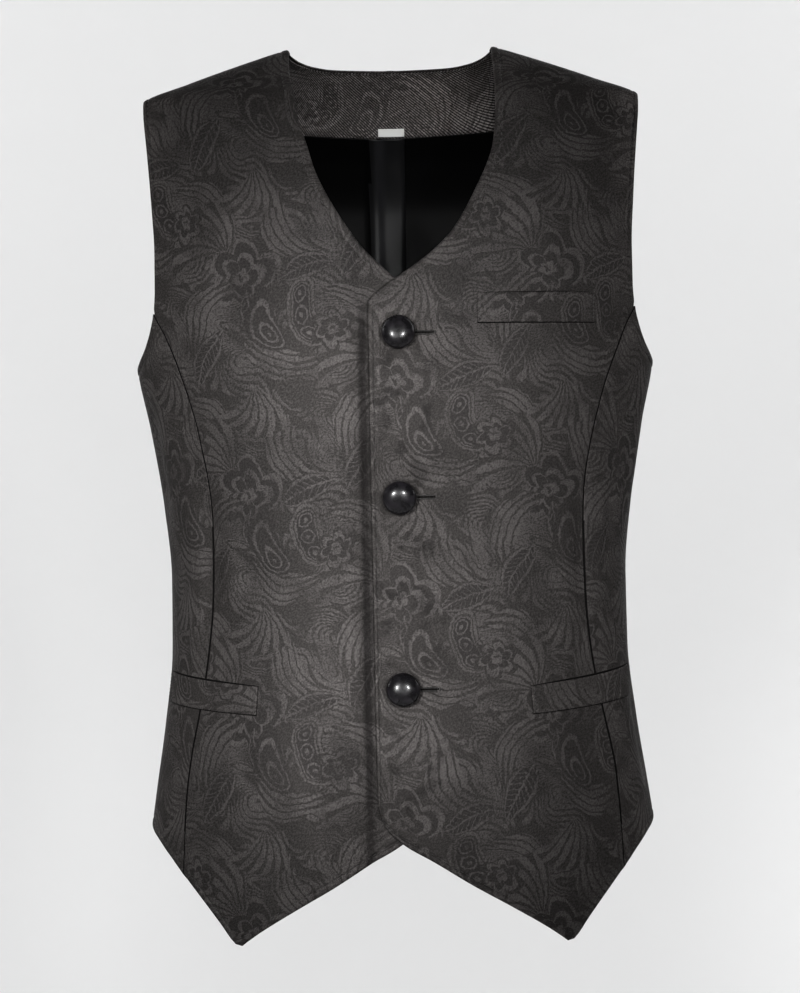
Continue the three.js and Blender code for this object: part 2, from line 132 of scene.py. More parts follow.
ARMHOLE_BACK = table(
    "down across",
    (36, 173), (50, 167), (75, 162), (110, 159), (150, 159.5), (185, 164), (207, 170),
    (217, 175.5), (222, 180),
)
HEM_FRONT = table(
    "across down",
    (-14, 533), (-8, 542), (3.5, 551), (20, 560.5), (46, 576.8), (75, 593.5), (98, 607.5),
    (108, 614.5), (112.5, 617.5), (117, 614), (125, 603), (137, 587.5), (151, 570),
)
HEM_ROUND = table(
    "turn down", (56.6, 570), (65, 557), (76, 546), (90, 540), (115, 537), (145, 537), (180, 539)
)
BACK_NECK = table(
    "turn down", (90, 0), (105, 1), (120, 2.6), (136, 5), (147, 7), (159, 8.8), (180, 9.8)
)
FACING_LOW = table("turn down", (118, 56), (132, 51), (148, 50), (164, 52.5), (180, 55))
# Places on the neckline, with the rise of the cloth there and how far it reaches
NECK_RISES = (((71.0, 0.0, 18.0), -2.1, 6.0), ((68.5, 25.0, 15.8), 2.7, 13.0))
WELTS = {
    "breast_welt": dict(
        turn=(14.9, 45.4), top=(177.4, 177.4), low=(197.5, 197.5), side=1, mouth=0.8, long=0.088
    ),
    "welt_left": dict(
        turn=(30.0, 80.3), top=(444.0, 432.5), low=(462.5, 452.5), side=1, mouth=1.5, long=0.108
    ),
    "welt_right": dict(
        turn=(33.8, 80.3), top=(441.5, 432.5), low=(460.5, 452.5), side=-1, mouth=1.5, long=0.108
    ),
}
BUTTONS = {"button_top": (204.0, 2.5), "button_middle": (314.5, 1.5), "button_bottom": (444.5, 1.7)}
LABEL_HALF, LABEL_TOP, LABEL_LOW = 9.3, 48.0, 53.2
PLEAT_FROM = -16.0
LINING_LAPS = {"left": 10.0, "right": 9.3}
SIDES = (("left", 1), ("right", -1))

# Soft creases of the cloth, each from one place to another, given in degrees of turn from the
# centre front (minus on the wearer's right) and millimetres down, with its bow, width and depth
CREASES = table(
    "turn down end_turn end_down bow width depth",
    (-50, 285, -54, 425, 4, 13, -2.4), (-43, 300, -46, 395, 2, 10, 1.1), (-59, 300, -61, 455, 3, 12, 1.5),
    (49, 270, 52, 430, -3, 10, -2.1), (44, 330, 42, 440, 2, 12, 1.0), (60, 250, 64, 420, 4, 10, -1.3),
    (-14, 480, -6, 560, 5, 12, -2.4), (-24, 500, -16, 590, 4, 14, 1.5), (12, 505, 18, 580, -4, 14, -1.2),
    (32, 60, 48, 150, 6, 18, -1.7), (-34, 55, -49, 150, -6, 18, -1.8), (26, 95, 38, 190, 5, 16, 1.3),
    (-26, 110, -36, 210, -4, 16, -1.3), (62, 190, 48, 215, 3, 7, -1.2), (-62, 192, -47, 222, -3, 8, -1.3),
    (66, 232, 52, 262, 2, 7, -0.9), (-66, 240, -50, 268, -3, 7, -1.0), (4, 196, 16, 186, 2, 4, -0.8),
    (5, 212, 19, 222, -2, 4.5, -0.9), (-9, 208, -20, 200, 2, 5, -0.7), (4, 306, 18, 300, 2, 4, -0.7),
    (5, 322, 17, 334, -2, 4.5, -0.8), (-9, 318, -21, 330, 2, 5, -0.8), (4, 436, 15, 428, 2, 4, -0.7),
    (5, 453, 18, 464, -2, 5, -0.9), (-10, 450, -22, 462, 2, 5, -0.8), (28, 372, 46, 392, 3, 9, -1.2),
    (-28, 380, -44, 362, -3, 9, -1.1), (20, 410, 38, 424, 2, 8, 0.8), (34, 476, 30, 520, 3, 7, -0.9),
    (-38, 472, -33, 515, -3, 7, -0.9), (62, 466, 58, 512, 2, 8, 0.9), (74, 230, 78, 330, 3, 14, 1.6),
    (-75, 240, -79, 340, -3, 14, -1.8), (80, 440, 82, 530, 2, 14, -1.6), (106, 250, 110, 400, 4, 15, -2.2),
    (-108, 265, -113, 410, -4, 16, -2.0), (126, 300, 122, 440, 3, 14, 1.8),
    (-129, 310, -125, 430, -3, 14, 1.9), (150, 330, 153, 460, 3, 16, -1.9),
    (-152, 320, -156, 470, -4, 16, -2.0), (168, 350, 170, 440, 2, 12, 1.2),
    (-166, 360, -168, 455, -2, 12, 1.4), (132, 60, 140, 190, 5, 20, -1.8),
    (-134, 70, -142, 200, -5, 20, -1.9), (100, 450, 97, 530, 2, 14, 1.4),
    (-102, 440, -98, 525, -2, 14, 1.5), (140, 380, 165, 392, 4, 9, -1.4),
    (-138, 388, -168, 376, -4, 9, -1.3), (120, 405, 150, 418, 3, 8, 1.0), (150, 90, 125, 110, 5, 16, -1.2),
    (-152, 95, -124, 118, -5, 16, -1.3),
)


def read(rows, by, column, at):
    """Value of one column at a place between the rows of a table, joined smoothly."""
    x, y, at = rows[by], rows[column], np.asarray(at, float)
    slope = np.diff(y) / np.diff(x)
    before, after = slope[:-1], slope[1:]
    total = np.where(np.abs(before + after) < 1e-12, 1, before + after)
    middle = np.where(before * after <= 0, 0, 2 * before * after / total)
    tangent = np.concatenate([slope[:1], middle, slope[-1:]])
    k = np.clip(np.searchsorted(x, at, side="right") - 1, 0, len(x) - 2)
    step = x[k + 1] - x[k]
    u = np.clip((at - x[k]) / step, 0, 1)
    v = 1 - u
    inner = y[k] * (1 + 2 * u) * v * v + tangent[k] * step * u * v * v
    inner = inner + y[k + 1] * (1 + 2 * v) * u * u - tangent[k + 1] * step * v * u * u
    beyond = tangent[-1] * np.maximum(at - x[-1], 0) + tangent[0] * np.minimum(at - x[0], 0)
    return inner + beyond


def bent(value):
    return np.sign(value) * np.abs(value) ** (2 / RING_POWER)


def body_point(turn, down):
    """Point of the body by its turn from the centre front in degrees and its distance down."""
    sine, cosine = np.sin(np.radians(turn)), np.cos(np.radians(turn))
    depth = np.where(
        cosine > 0, read(BODY, "down", "front", down), read(BODY, "down", "back", down)
    )
    half = read(BODY, "down", "half", down)
    height = NECK_POINT_HEIGHT - np.asarray(down)
    return np.stack(np.broadcast_arrays(half * bent(sine), -depth * bent(cosine), height), -1)


def unit(vectors):
    return vectors / np.maximum(np.linalg.norm(vectors, axis=-1, keepdims=True), 1e-12)


def walked(points, axis):
    """Length from the start of each line of points, along one axis of a grid."""
    steps = np.linalg.norm(np.diff(points, axis=axis), axis=-1)
    return np.concatenate([np.zeros_like(np.take(steps, [0], axis)), np.cumsum(steps, axis=axis)], axis)


def places(turn, down):
    """Places on the body as pairs of turn and down."""
    return np.stack(np.broadcast_arrays(turn, down), -1)


def across_of(grid):
    """How far across the body each place of a grid lies."""
    return body_point(grid[..., 0], grid[..., 1])[..., 0]


def body_normal(turn, down):
    around = body_point(turn + 0.2, down) - body_point(turn - 0.2, down)
    below = body_point(turn, down + 0.2) - body_point(turn, down - 0.2)
    return unit(np.cross(below, around))


def turn_at(across, down):
    """Turn at which the front half of the body is this far across."""
    share = np.minimum(1, np.abs(across) / read(BODY, "down", "half", down))
    return np.sign(across) * np.degrees(np.arcsin(share ** (RING_POWER / 2)))


class Edge:
    """An edge on the body, known by turn and down, that is walked by its length."""

    def __init__(self, turn, down):
        self.places = places(turn, down)
        self.length = walked(body_point(self.places[:, 0], self.places[:, 1]), 0)

    def at(self, share):
        length = np.asarray(share) * self.length[-1]
        return np.stack([np.interp(length, self.length, self.places[:, k]) for k in (0, 1)], -1)

    def share_at(self, down):
        return np.interp(down, self.places[:, 1], self.length) / self.length[-1]


def traced(rows, by, steps=240):
    return rows[by][0] + (rows[by][-1] - rows[by][0]) * np.linspace(0, 1, steps) ** 1.6


def across_edge(rows, column="across", behind=False):
    down = traced(rows, "down")
    turn = turn_at(read(rows, "down", column, down), down)
    return Edge(180 - turn if behind else turn, down)


def round_edge(rows, start, end):
    turn = np.linspace(start, end, 160)
    return Edge(turn, read(rows, "turn", "down", turn))


def joined(first, second, share):
    """Places along two edges that follow each other, by the share of both lengths together."""
    cut = first.length[-1] / (first.length[-1] + second.length[-1])
    on = np.asarray(share)
    one = first.at(np.clip(on / cut, 0, 1))
    two = second.at(np.clip((on - cut) / (1 - cut), 0, 1))
    return np.where((on <= cut)[:, None], one, two)


armhole_front = across_edge(ARMHOLE_FRONT)
princess = across_edge(PRINCESS_SEAM)
armhole_side = across_edge(ARMHOLE_SIDE)
armhole_back = across_edge(ARMHOLE_BACK, behind=True)
side_seam = Edge(np.full(120, 90.0), np.linspace(222, 540, 120))
shoulder_seam = Edge(np.full(40, 90.0), np.linspace(0, 36, 40))
hem_across = traced(HEM_FRONT, "across")
hem_down = read(HEM_FRONT, "across", "down", hem_across)
hem_front = Edge(turn_at(hem_across, hem_down), hem_down)
hem_side = round_edge(HEM_ROUND, 56.6, 90)
hem_back = round_edge(HEM_ROUND, 180, 90)
back_neck = round_edge(BACK_NECK, 180, 90)


def spaced(count, crowd=0.8):
    """Shares from 0 to 1 that lie closer together at both ends."""
    u = np.linspace(0, 1, count + 1)
    return u - crowd * np.sin(2 * np.pi * u) / (2 * np.pi)


def filled(left, right, top, low, s, t):
    """A grid of places between four edges that meet at the corners."""
    s, t = s[None, :, None], t[:, None, None]
    sides = (1 - s) * left[:, None] + s * right[:, None]
    ends = (1 - t) * top[None] + t * low[None]
    corners = (1 - s) * ((1 - t) * top[0] + t * low[0]) + s * ((1 - t) * top[-1] + t * low[-1])
    return sides + ends - corners


def front_grid(column, columns=72, rows=170):
    s, t = spaced(columns), spaced(rows)
    outer = joined(armhole_front, princess, t)
    return filled(
        across_edge(NECK_AND_FRONT_EDGE, column).at(t),
        outer, shoulder_seam.at(s), hem_front.at(s), s, t,
    )


def side_grid(columns=30, rows=120):
    s, t = spaced(columns), spaced(rows)
    return filled(princess.at(t), side_seam.at(t), armhole_side.at(s), hem_side.at(s), s, t)


def plan_place(x, y):
    """Turn and down of the place on the shoulders that is seen there from above."""
    high, low = np.zeros_like(x), np.full_like(x, 110.0)
    x, y = np.maximum(x, 0), np.maximum(y, 0)

    def shares(down):
        across = (x / read(BODY, "down", "half", down)) ** RING_POWER
        return across, (y / read(BODY, "down", "back", down)) ** RING_POWER

    for _ in range(40):
        middle = (high + low) / 2
        outside = sum(shares(middle)) > 1
        high, low = np.where(outside, middle, high), np.where(outside, low, middle)
    across, deep = shares(low)
    return places(180 - np.degrees(np.arctan2(np.sqrt(across), np.sqrt(deep))), low)


facing_end = armhole_back.share_at(FACING_LOW["down"][0])


def back_grids(columns=78, band_rows=26, rows=120):
    """The band behind the neck and the rest of a back, from the centre to the armhole."""
    s, t = spaced(columns), np.linspace(0, 1, band_rows + 1) ** 1.3
    top = joined(back_neck, shoulder_seam, s)
    end = armhole_back.at(facing_end)
    turn = 180 + (end[0] - 180) * s
    facing_low = places(turn, read(FACING_LOW, "turn", "down", turn))
    facing_low[-1] = end
    as_plan = lambda places: body_point(places[..., 0], places[..., 1])[..., :2]
    centre = places(180.0, top[0, 1] + (facing_low[0, 1] - top[0, 1]) * t)
    plan = filled(
        as_plan(centre), as_plan(armhole_back.at(t * facing_end)),
        as_plan(top), as_plan(facing_low), s, t,
    )
    band = plan_place(plan[..., 0], plan[..., 1])
    band[0], band[-1], band[:, -1] = top, facing_low, armhole_back.at(t * facing_end)
    t = spaced(rows)
    rest_length = armhole_back.length[-1] * (1 - facing_end)
    cut = rest_length / (rest_length + side_seam.length[-1])
    on_armhole = armhole_back.at(facing_end + (1 - facing_end) * np.clip(t / cut, 0, 1))
    on_side = side_seam.at(np.clip((t - cut) / (1 - cut), 0, 1))
    outer = np.where((t <= cut)[:, None], on_armhole, on_side)
    low = hem_back.at(s)
    centre = places(180.0, facing_low[0, 1] + (low[0, 1] - facing_low[0, 1]) * t)
    return band, filled(centre, outer, facing_low, low, s, t)


# Lengths along the cloth, for the weave and its figures
RING_TURNS = np.linspace(0, 180, 361)
RING_DOWNS = np.linspace(-4, 630, 160)
FALL_TURN = 38.0
RING_ARCS = walked(body_point(RING_TURNS[None, :], RING_DOWNS[:, None]), 1)
FALL_LENGTHS = walked(body_point(np.full_like(RING_DOWNS, FALL_TURN), RING_DOWNS), 0)


def cloth_place(turn, down):
    """Distances over the cloth, around from the centre front and down from the neck point."""
    row = np.clip((down - RING_DOWNS[0]) / (RING_DOWNS[1] - RING_DOWNS[0]), 0, len(RING_DOWNS) - 1.001)
    col = np.clip(np.abs(turn) / RING_TURNS[1], 0, len(RING_TURNS) - 1.001)
    j, i = row.astype(int), col.astype(int)
    a, b = row - j, col - i
    arc = (1 - a) * ((1 - b) * RING_ARCS[j, i] + b * RING_ARCS[j, i + 1])
    arc = arc + a * ((1 - b) * RING_ARCS[j + 1, i] + b * RING_ARCS[j + 1, i + 1])
    return np.sign(turn) * arc, np.interp(down, RING_DOWNS, FALL_LENGTHS)


def eased(value):
    value = np.clip(value, 0, 1)
    return value * value * (3 - 2 * value)


def bell(distance, width):
    """1 at no distance, falling to nearly nothing at twice the width."""
    return np.exp(-((distance / width) ** 2))


def fade(distance):
    return eased(1 - distance / LAP_FADE)


def creased(turn, down):
    """Rise of the soft creases at a place."""
    turn = (turn + 180) % 360 - 180
    rise = 0 * (turn + down)
    for start, top, end, low, bow, width, depth in zip(*CREASES.values()):
        run, fall = (end - start) * DEGREE_LENGTH, low - top
        length = math.hypot(run, fall)
        x, y = (turn - start) * DEGREE_LENGTH, down - top
        share = (x * run + y * fall) / length**2
        across = (x * fall - y * run) / length - 4 * bow * share * (1 - share)
        window = eased(share * 2.6 + 0.25) * eased((1 - share) * 2.2 + 0.2)
        rise += CREASE_GAIN * depth * window * bell(across, width)
    for low, middle in BUTTONS.values():
        x, y = (turn - middle / DEGREE_LENGTH) * DEGREE_LENGTH, down - low
        far, around = np.hypot(x, y), np.arctan2(y, x)
        folds = PUCKER_DEPTH * np.cos(PUCKERS * around) * bell(far - PUCKER_FAR, PUCKER_WIDTH)
        rise -= DIMPLE_DEPTH * bell(far, DIMPLE_WIDTH) - folds
    return rise


def distances(points):
    """Length over the cloth from each vertex to the left, right, top and low edge of its grid."""
    left, top = walked(points, 1), walked(points, 0)
    return {"left": left, "right": left[:, -1:] - left, "top": top, "low": top[-1:] - top}


def edge_form(away, kind):
    """Height of the cloth near an edge: turned and topstitched, a pressed seam, or plain."""
    if kind == "turned":
        puff = 0.28 * eased(away / 2.0) * eased((STITCH_INSET - away) / 1.4)
        return puff - 0.42 * bell(away - STITCH_INSET, 0.7) - 0.5 * bell(away, 0.5)
    if kind == "seam":
        return -1.5 * bell(away, 0.45) + 0.12 * bell(away - 3.6, 1.8)
    return -0.25 * bell(away, 0.5)


def shell(name, grid, wall, edges, rise=0.0, side=1, back=None, origin=(0.0, 0.0),
          slots=("jacquard", "jacquard"), own_lengths=False):
    """A closed shell of cloth over a grid of places, with its cloth lengths as a UV map."""
    turn, down = grid[..., 0], grid[..., 1]
    points, normals = body_point(turn, down), body_normal(turn, down)
    away = distances(points)
    height = rise + creased(side * turn, down)
    sewn = np.full(turn.shape, NOT_SEWN)
    for edge, kinds in edges.items():
        ends = ("top", "low") if edge in ("left", "right") else ("left", "right")
        inward = eased(away[ends[0]] / 5.0) * eased(away[ends[1]] / 5.0)
        for kind, share in kinds.items():
            height = height + edge_form(away[edge], kind) * inward * share
            if kind == "seam":
                sewn = np.minimum(sewn, np.where(share + 0 * turn > SEWN_SHARE, away[edge], NOT_SEWN))
    for place, lift, reach in NECK_RISES:
        height = height + lift * bell(np.linalg.norm(points - place, axis=-1), reach)
    moved = points.copy()
    rows = {
        "left": (np.s_[:, 0], np.s_[:, 1]), "right": (np.s_[:, -1], np.s_[:, -2]),
        "top": (np.s_[0, :], np.s_[1, :]), "low": (np.s_[-1, :], np.s_[-2, :]),
    }
    for edge, amount in (back or {}).items():
        here, next_in = rows[edge]
        inward = points[next_in] - points[here]
        room = 0.9 * np.linalg.norm(inward, axis=-1, keepdims=True)
        moved[here] = points[here] + unit(inward) * np.minimum(amount, room)
    flip = np.array([side, 1, 1])
    outer = (moved + normals * height[..., None]) * flip
    inner = (moved + normals * (height - wall)[..., None]) * flip
    m, n = turn.shape
    number = np.arange(m * n).reshape(m, n)
    a, b, c, d = number[:-1, :-1], number[1:, :-1], number[1:, 1:], number[:-1, 1:]
    outside = np.stack([a, b, c, d], -1).reshape(-1, 4)
    inside = np.stack([a, d, c, b], -1).reshape(-1, 4) + m * n
    loop = np.concatenate([number[0, :-1], number[:-1, -1], number[-1, :0:-1], number[:0:-1, 0]])
    out_edge, in_edge = outer.reshape(-1, 3)[loop], inner.reshape(-1, 3)[loop]
    next_in = np.concatenate([number[1, :-1], number[:-1, -2], number[-2, :0:-1], number[:0:-1, 1]])
    outward = unit(out_edge - outer.reshape(-1, 3)[next_in])
    rim = (out_edge + in_edge) / 2 + outward * wall * 0.16
    size = len(loop)
    rim_number = np.arange(size) + 2 * m * n
    on = np.roll(np.arange(size), -1)
    rim_out = np.stack([loop, loop[on], rim_number[on], rim_number], -1)
    rim_in = np.stack([rim_number, rim_number[on], loop[on] + m * n, loop + m * n], -1)
    faces = np.concatenate([outside, inside, rim_out, rim_in])
    if side < 0:
        faces = faces[:, ::-1]
    around, fall = cloth_place(turn, down)
    if own_lengths:
        around, fall = away["left"] - away["left"][:, -1:] / 2, away["top"]
    flat = np.stack([side * around + origin[0], -fall + origin[1]], -1).reshape(-1, 2)
    flat = np.concatenate([flat, flat, flat[loop]])
    corners = np.concatenate([outer.reshape(-1, 3), inner.reshape(-1, 3), rim]) * MM
    finishes = (*slots, "painted_shade_cloth")
    piece = mesh_piece(name, corners.tolist(), faces.tolist(), finishes, flat[faces.ravel()] * MM)
    marks = np.zeros(len(faces), int)
    marks[len(outside):len(outside) + len(inside)] = 1
    # Faces beside a sewn edge and the rims along it take the painted seam shade
    middle = (sewn[:-1, :-1] + sewn[1:, 1:]) / 2
    marks[:len(outside)][middle.ravel() < SEAM_SHADE_WIDTH] = 2
    marks[len(outside) + len(inside):] = np.tile(sewn.ravel()[loop] < 0.1, 2) * 2
    piece.data.polygons.foreach_set("material_index", marks)
    return piece, outer * MM, normals * flip, away


def mesh_piece(name, points, faces, finishes, flat=None):
    """A smooth object of points and faces in its finishes, with a UV map if it is cloth."""
    mesh = bpy.data.meshes.new(name)
    mesh.from_pydata(points, [], faces)
    if flat is not None:
        layer = mesh.uv_layers.new(name="cloth")
        layer.uv.foreach_set("vector", np.asarray(flat, np.float32).ravel())
    mesh.polygons.foreach_set("use_smooth", np.ones(len(mesh.polygons), bool))
    mesh.update()
    piece = bpy.data.objects.new(name, mesh)
    bpy.context.scene.collection.objects.link(piece)
    wear(piece, *finishes)
    return piece


def painted_shade_strip(name, grid, wall, rise, side=1):
    """A thin strip of painted shade in the mouth of a pocket, under a fold or in a buttonhole."""
    settle(shell(name, grid, wall, {}, rise=rise, side=side, slots=("painted_shade_cloth",) * 2)[0])


FINISHES = {}


def wear(piece, *names):
    piece.data.materials.clear()
    for name in names:
        piece.data.materials.append(finish(name))


def finish(name):
    if name not in FINISHES:
        FINISHES[name] = MAKERS[name](bpy.context.scene.waistcoat_colours)
    return FINISHES[name]


def settle(piece, nodes=()):
    """Makes a piece move with the garment and stand for its solids."""
    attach(piece, "root")
    if nodes:
        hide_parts(*nodes)
    return piece


# Materials


class Wire:
    """A value in a material's nodes, on which sums are written as on a number."""

    def __init__(self, kit, socket):
        self.kit, self.socket = kit, socket

    def math(self, operation, *others):
        return self.kit.math(operation, self, *others)

    def __add__(self, other):
        return self.math("ADD", other)

    def __sub__(self, other):
        return self.math("SUBTRACT", other)

    def __rsub__(self, other):
        return self.kit.math("SUBTRACT", other, self)

    def __mul__(self, other):
        return self.math("MULTIPLY", other)

    def __truediv__(self, other):
        return self.math("DIVIDE", other)

    def __pow__(self, other):
        return self.math("POWER", other)

    def __neg__(self):
        return self.math("MULTIPLY", -1.0)

    def __abs__(self):
        return self.math("ABSOLUTE")

    def __or__(self, other):
        """The larger of two values."""
        return self.math("MAXIMUM", other)

    def __and__(self, other):
        """The smaller of two values."""
        return self.math("MINIMUM", other)

    def sine(self):
        return self.math("SINE")

    def zigzag(self):
        """Up and down between 0 and 0.5, once for each 1 of the value."""
        return self.math("PINGPONG", 0.5)

    def plus_times(self, other, amount):
        """This value times another, plus an amount."""
        return self.math("MULTIPLY_ADD", other, amount)


class Kit:
    """The nodes of one material."""

    def __init__(self, name):
        self.material = bpy.data.materials.new(name)
        self.material.use_nodes = True
        self.tree = self.material.node_tree
        self.tree.nodes.clear()
        self.shader = self.tree.nodes.new("ShaderNodeBsdfPrincipled")
        out = self.tree.nodes.new("ShaderNodeOutputMaterial")
        self.tree.links.new(self.shader.outputs[0], out.inputs["Surface"])

    def node(self, kind, settings=None, output=0, **sockets):
        """Adds a node of a type, with its settings and then the values or links of its sockets."""
        node = self.tree.nodes.new(kind)
        for key, value in (settings or {}).items():
            setattr(node, key, value)
        for key, value in sockets.items():
            number = key.removeprefix("at_")
            self.feed(node.inputs[int(number) if number.isdigit() else key.replace("_", " ")], value)
        return Wire(self, node.outputs[output])

    def feed(self, socket, value):
        if isinstance(value, Wire):
            self.tree.links.new(value.socket, socket)
        else:
            socket.default_value = value

    def math(self, operation, *values):
        places = {f"at_{k}": value for k, value in enumerate(values)}
        return self.node("ShaderNodeMath", {"operation": operation}, **places)

    def smooth(self, value, low, high):
        """0 up to low and 1 from high, with a smooth step between."""
        settings = {"interpolation_type": "SMOOTHSTEP"}
        return self.node("ShaderNodeMapRange", settings, at_0=value, at_1=low, at_2=high)

    def mix(self, share, first, second):
        """A colour between two colours."""
        settings = {"data_type": "RGBA"}
        return self.node("ShaderNodeMix", settings, 2, at_0=share, at_6=first, at_7=second)

    def shades(self, share, colour, low, high=1.0):
        """A colour between two strengths of one colour."""
        return self.mix(share, tinted(colour, low), tinted(colour, high))

    def noise(self, place, scale, detail=2.0, roughness=0.5, output=0):
        return self.node(
            "ShaderNodeTexNoise", {"noise_dimensions": "3D"}, output,
            Vector=place, Scale=scale, Detail=detail, Roughness=roughness,
        )

    def parts(self, vector):
        """The three parts of a vector."""
        first = self.node("ShaderNodeSeparateXYZ", Vector=vector)
        return [Wire(self, socket) for socket in first.socket.node.outputs]

    def cloth(self):
        """Place on the cloth in millimetres, around and down."""
        around, down, _ = self.parts(self.node("ShaderNodeUVMap", {"uv_map": "cloth"}))
        return around * 1000.0, down * -1000.0

    def place(self, around, down, depth=0.0):
        return self.node("ShaderNodeCombineXYZ", X=around, Y=down, Z=depth)

    def solid_place(self):
        return self.node("ShaderNodeTexCoord", output=3)

    def stretched(self, place, along):
        """A place whose upward part is scaled, so that noise on it runs in upright streaks."""
        return self.node("ShaderNodeMapping", Vector=place, Scale=(1.0, 1.0, along))

    def surface(self, colour, roughness, height=None, strength=0.3, distance=0.0004, **constants):
        self.feed(self.shader.inputs["Base Color"], colour)
        self.feed(self.shader.inputs["Roughness"], roughness)
        for key, value in constants.items():
            self.shader.inputs[key.replace("_", " ")].default_value = value
        if height is not None:
            bump = self.node("ShaderNodeBump", Strength=strength, Distance=distance, Height=height)
            self.feed(self.shader.inputs["Normal"], bump)
        return self.material


REPEAT_AROUND = 106.0
REPEAT_DOWN = 150.0


class Figure:
    """The woven figures of the jacquard: light threads and darker fillings on one repeat."""

    def __init__(self, kit, around, down):
        self.kit, self.around, self.down = kit, around, down
        self.light, self.dark = None, None

    def spot(self, x, y, angle=0.0):
        """Distances from the nearest spot of a half-drop repeat, along turned axes."""
        dx = self.around - x
        near_x = dx.math("WRAP", REPEAT_AROUND / 2, -REPEAT_AROUND / 2)
        drop = (near_x - dx).plus_times(REPEAT_DOWN / 2 / REPEAT_AROUND, self.down - y)
        near_y = drop.math("WRAP", REPEAT_DOWN / 2, -REPEAT_DOWN / 2)
        c, s = math.cos(math.radians(angle)), math.sin(math.radians(angle))
        return near_y.plus_times(s, near_x * c), near_x.plus_times(-s, near_y * c)

    def lay(self, inside, light, dark=None):
        """Weaves a figure over what lies there already."""
        under = inside * -1.0 + 1.0
        light, dark = light * inside, inside * (0.0 if dark is None else dark)
        self.light = light if self.light is None else self.light.plus_times(under, light)
        self.dark = dark if self.dark is None else self.dark.plus_times(under, dark)

    def line(self, value, width):
        """1 where a value is near 0 and 0 beyond a width."""
        return self.kit.smooth(abs(value), width, width * 0.35)

    def length(self, x, y):
        return y.plus_times(y, x * x).math("SQRT")

    def scrolls(self, step):
        """Bent parallel strokes that fill the ground between the other figures."""
        x = self.around * (2 * math.pi / REPEAT_AROUND)
        y = self.down * (2 * math.pi / REPEAT_DOWN)
        up, over = x.plus_times(0.5, y), x.plus_times(0.5, -y)
        swing = (over * 2.0).sine()
        first = swing.plus_times(1.1, up).sine()
        second = (first.plus_times(1.3, over) + 0.8).sine()
        third = (up * 3.0 + over).sine()
        level = second.plus_times(21.0, first * 24.0) + third * 5.0
        stripe = (level * (1 / step)).zigzag()
        window = (up.plus_times(2.0, second * 1.8) + 0.5).sine()
        window = window * over.plus_times(3.0, first * 1.5).sine()
        width = window.plus_times(0.24, 0.27)
        stroke = self.kit.smooth(stripe - width, 0.06, -0.06) * self.kit.smooth(window, -0.55, -0.1)
        self.light = stroke * 0.75
        self.dark = self.kit.smooth(window, 0.1, 0.5) * 0.4

    def sheaf(self, x, y, angle, long, wide, bow, step):
        """Curved strokes that lie side by side and taper to both ends."""
        a, b = self.spot(x, y, angle)
        bowed = (a * a).plus_times(bow, b)
        far = (a * (1 / long)) ** 2.0
        inside = self.kit.smooth(far + (bowed * (1 / wide)) ** 2.0, 1.0, 0.85)
        stripe = (bowed * (1 / step)).zigzag()
        self.lay(inside, self.kit.smooth(stripe - far.plus_times(-0.3, 0.38), 0.07, -0.05))

    def flower(self, x, y, radius, petals, angle=0.0, rings=2.4):
        """Scalloped ribbons round a heart of drops."""
        a, b = self.spot(x, y, angle)
        far = self.length(a, b)
        turn = b.math("ARCTAN2", a)
        scallop = abs((turn.plus_times(petals / 2, far * (1.5 / radius))).math("COSINE"))
        lopsided = (turn + 0.7 * y + 0.3).math("COSINE")
        edge = scallop.plus_times(0.36 * radius, lopsided.plus_times(0.12 * radius, 0.66 * radius))
        rim = far / edge
        ribbon = (rim * rings + 0.12).zigzag()
        uneven = (turn * 2.0 + x).sine().plus_times(0.1, 0.28)
        stroke = self.kit.smooth(ribbon - uneven, -0.03, 0.09)
        vein = self.kit.smooth(scallop, 0.14, 0.03) * self.kit.smooth(rim, 0.7, 0.4)
        filling = self.kit.smooth(rim, 0.96, 0.9) * 0.6
        self.lay(self.kit.smooth(rim, 1.06, 1.02), stroke | vein, filling)

    def fan(self, x, y, angle, radius, blades, spread, swirl=0.0):
        """Blades that spread from a point."""
        a, b = self.spot(x, y, angle)
        far = self.length(a, b) * (1 / radius)
        turn = b.math("ARCTAN2", a) + far * swirl
        half = math.radians(spread) / 2
        stripe = turn.plus_times(blades / half / 2, 0.5).zigzag()
        width = (far * (1.12 - far)).plus_times(1.0, 0.03)
        stroke = self.kit.smooth(stripe - width, 0.06, -0.04)
        reach = self.kit.smooth(abs(turn), half, half - 0.12) * self.kit.smooth(far, 1.0, 0.95)
        self.lay(reach * self.kit.smooth(far, 0.06, 0.14), stroke)

    def leaf(self, x, y, angle, long, wide):
        """An outlined leaf with a middle vein and slanting side veins."""
        a, b = self.spot(x, y, angle)
        bowed = (a * a).plus_times(0.006, b)
        form = ((a * (2 / long)) ** 2.0).plus_times(-1.0, 1.04) | 0.001
        rim = abs(bowed) / (form * (wide / 2))
        veins = self.kit.smooth(((abs(bowed) * 0.9 - a) * 0.25).zigzag(), 0.32, 0.44) * 0.7
        drawn = self.line(rim - 0.9, 0.17) | self.line(bowed, 0.9) | veins
        drawn = drawn * self.kit.smooth(rim, 1.06, 0.98)
        self.lay(self.kit.smooth(rim, 1.25, 1.1), drawn, self.kit.smooth(rim, 1.0, 0.9) * 0.6)

    def pod(self, x, y, angle, bead):
        """Three beads in a row in a double-walled pod."""
        a, b = self.spot(x, y, angle)
        bowed = (a * a).plus_times(0.012, b)
        number = (a * (1 / (2.1 * bead))).math("ROUND") & 1.0 | -1.0
        far = self.length(number.plus_times(-2.1 * bead, a), bowed)
        beads = self.line(far - bead * 0.8, 0.8) | self.kit.smooth(far, bead * 0.36, bead * 0.2)
        out = self.length(abs(a) - 2.1 * bead | 0.0, bowed)
        walls = self.line(out - bead * 1.2, 0.8) | self.line(out - bead * 1.66, 1.5)
        filling = self.kit.smooth(out, bead * 1.1, bead) * 0.9
        self.lay(self.kit.smooth(out, bead * 2.0, bead * 1.9), beads | walls, filling)

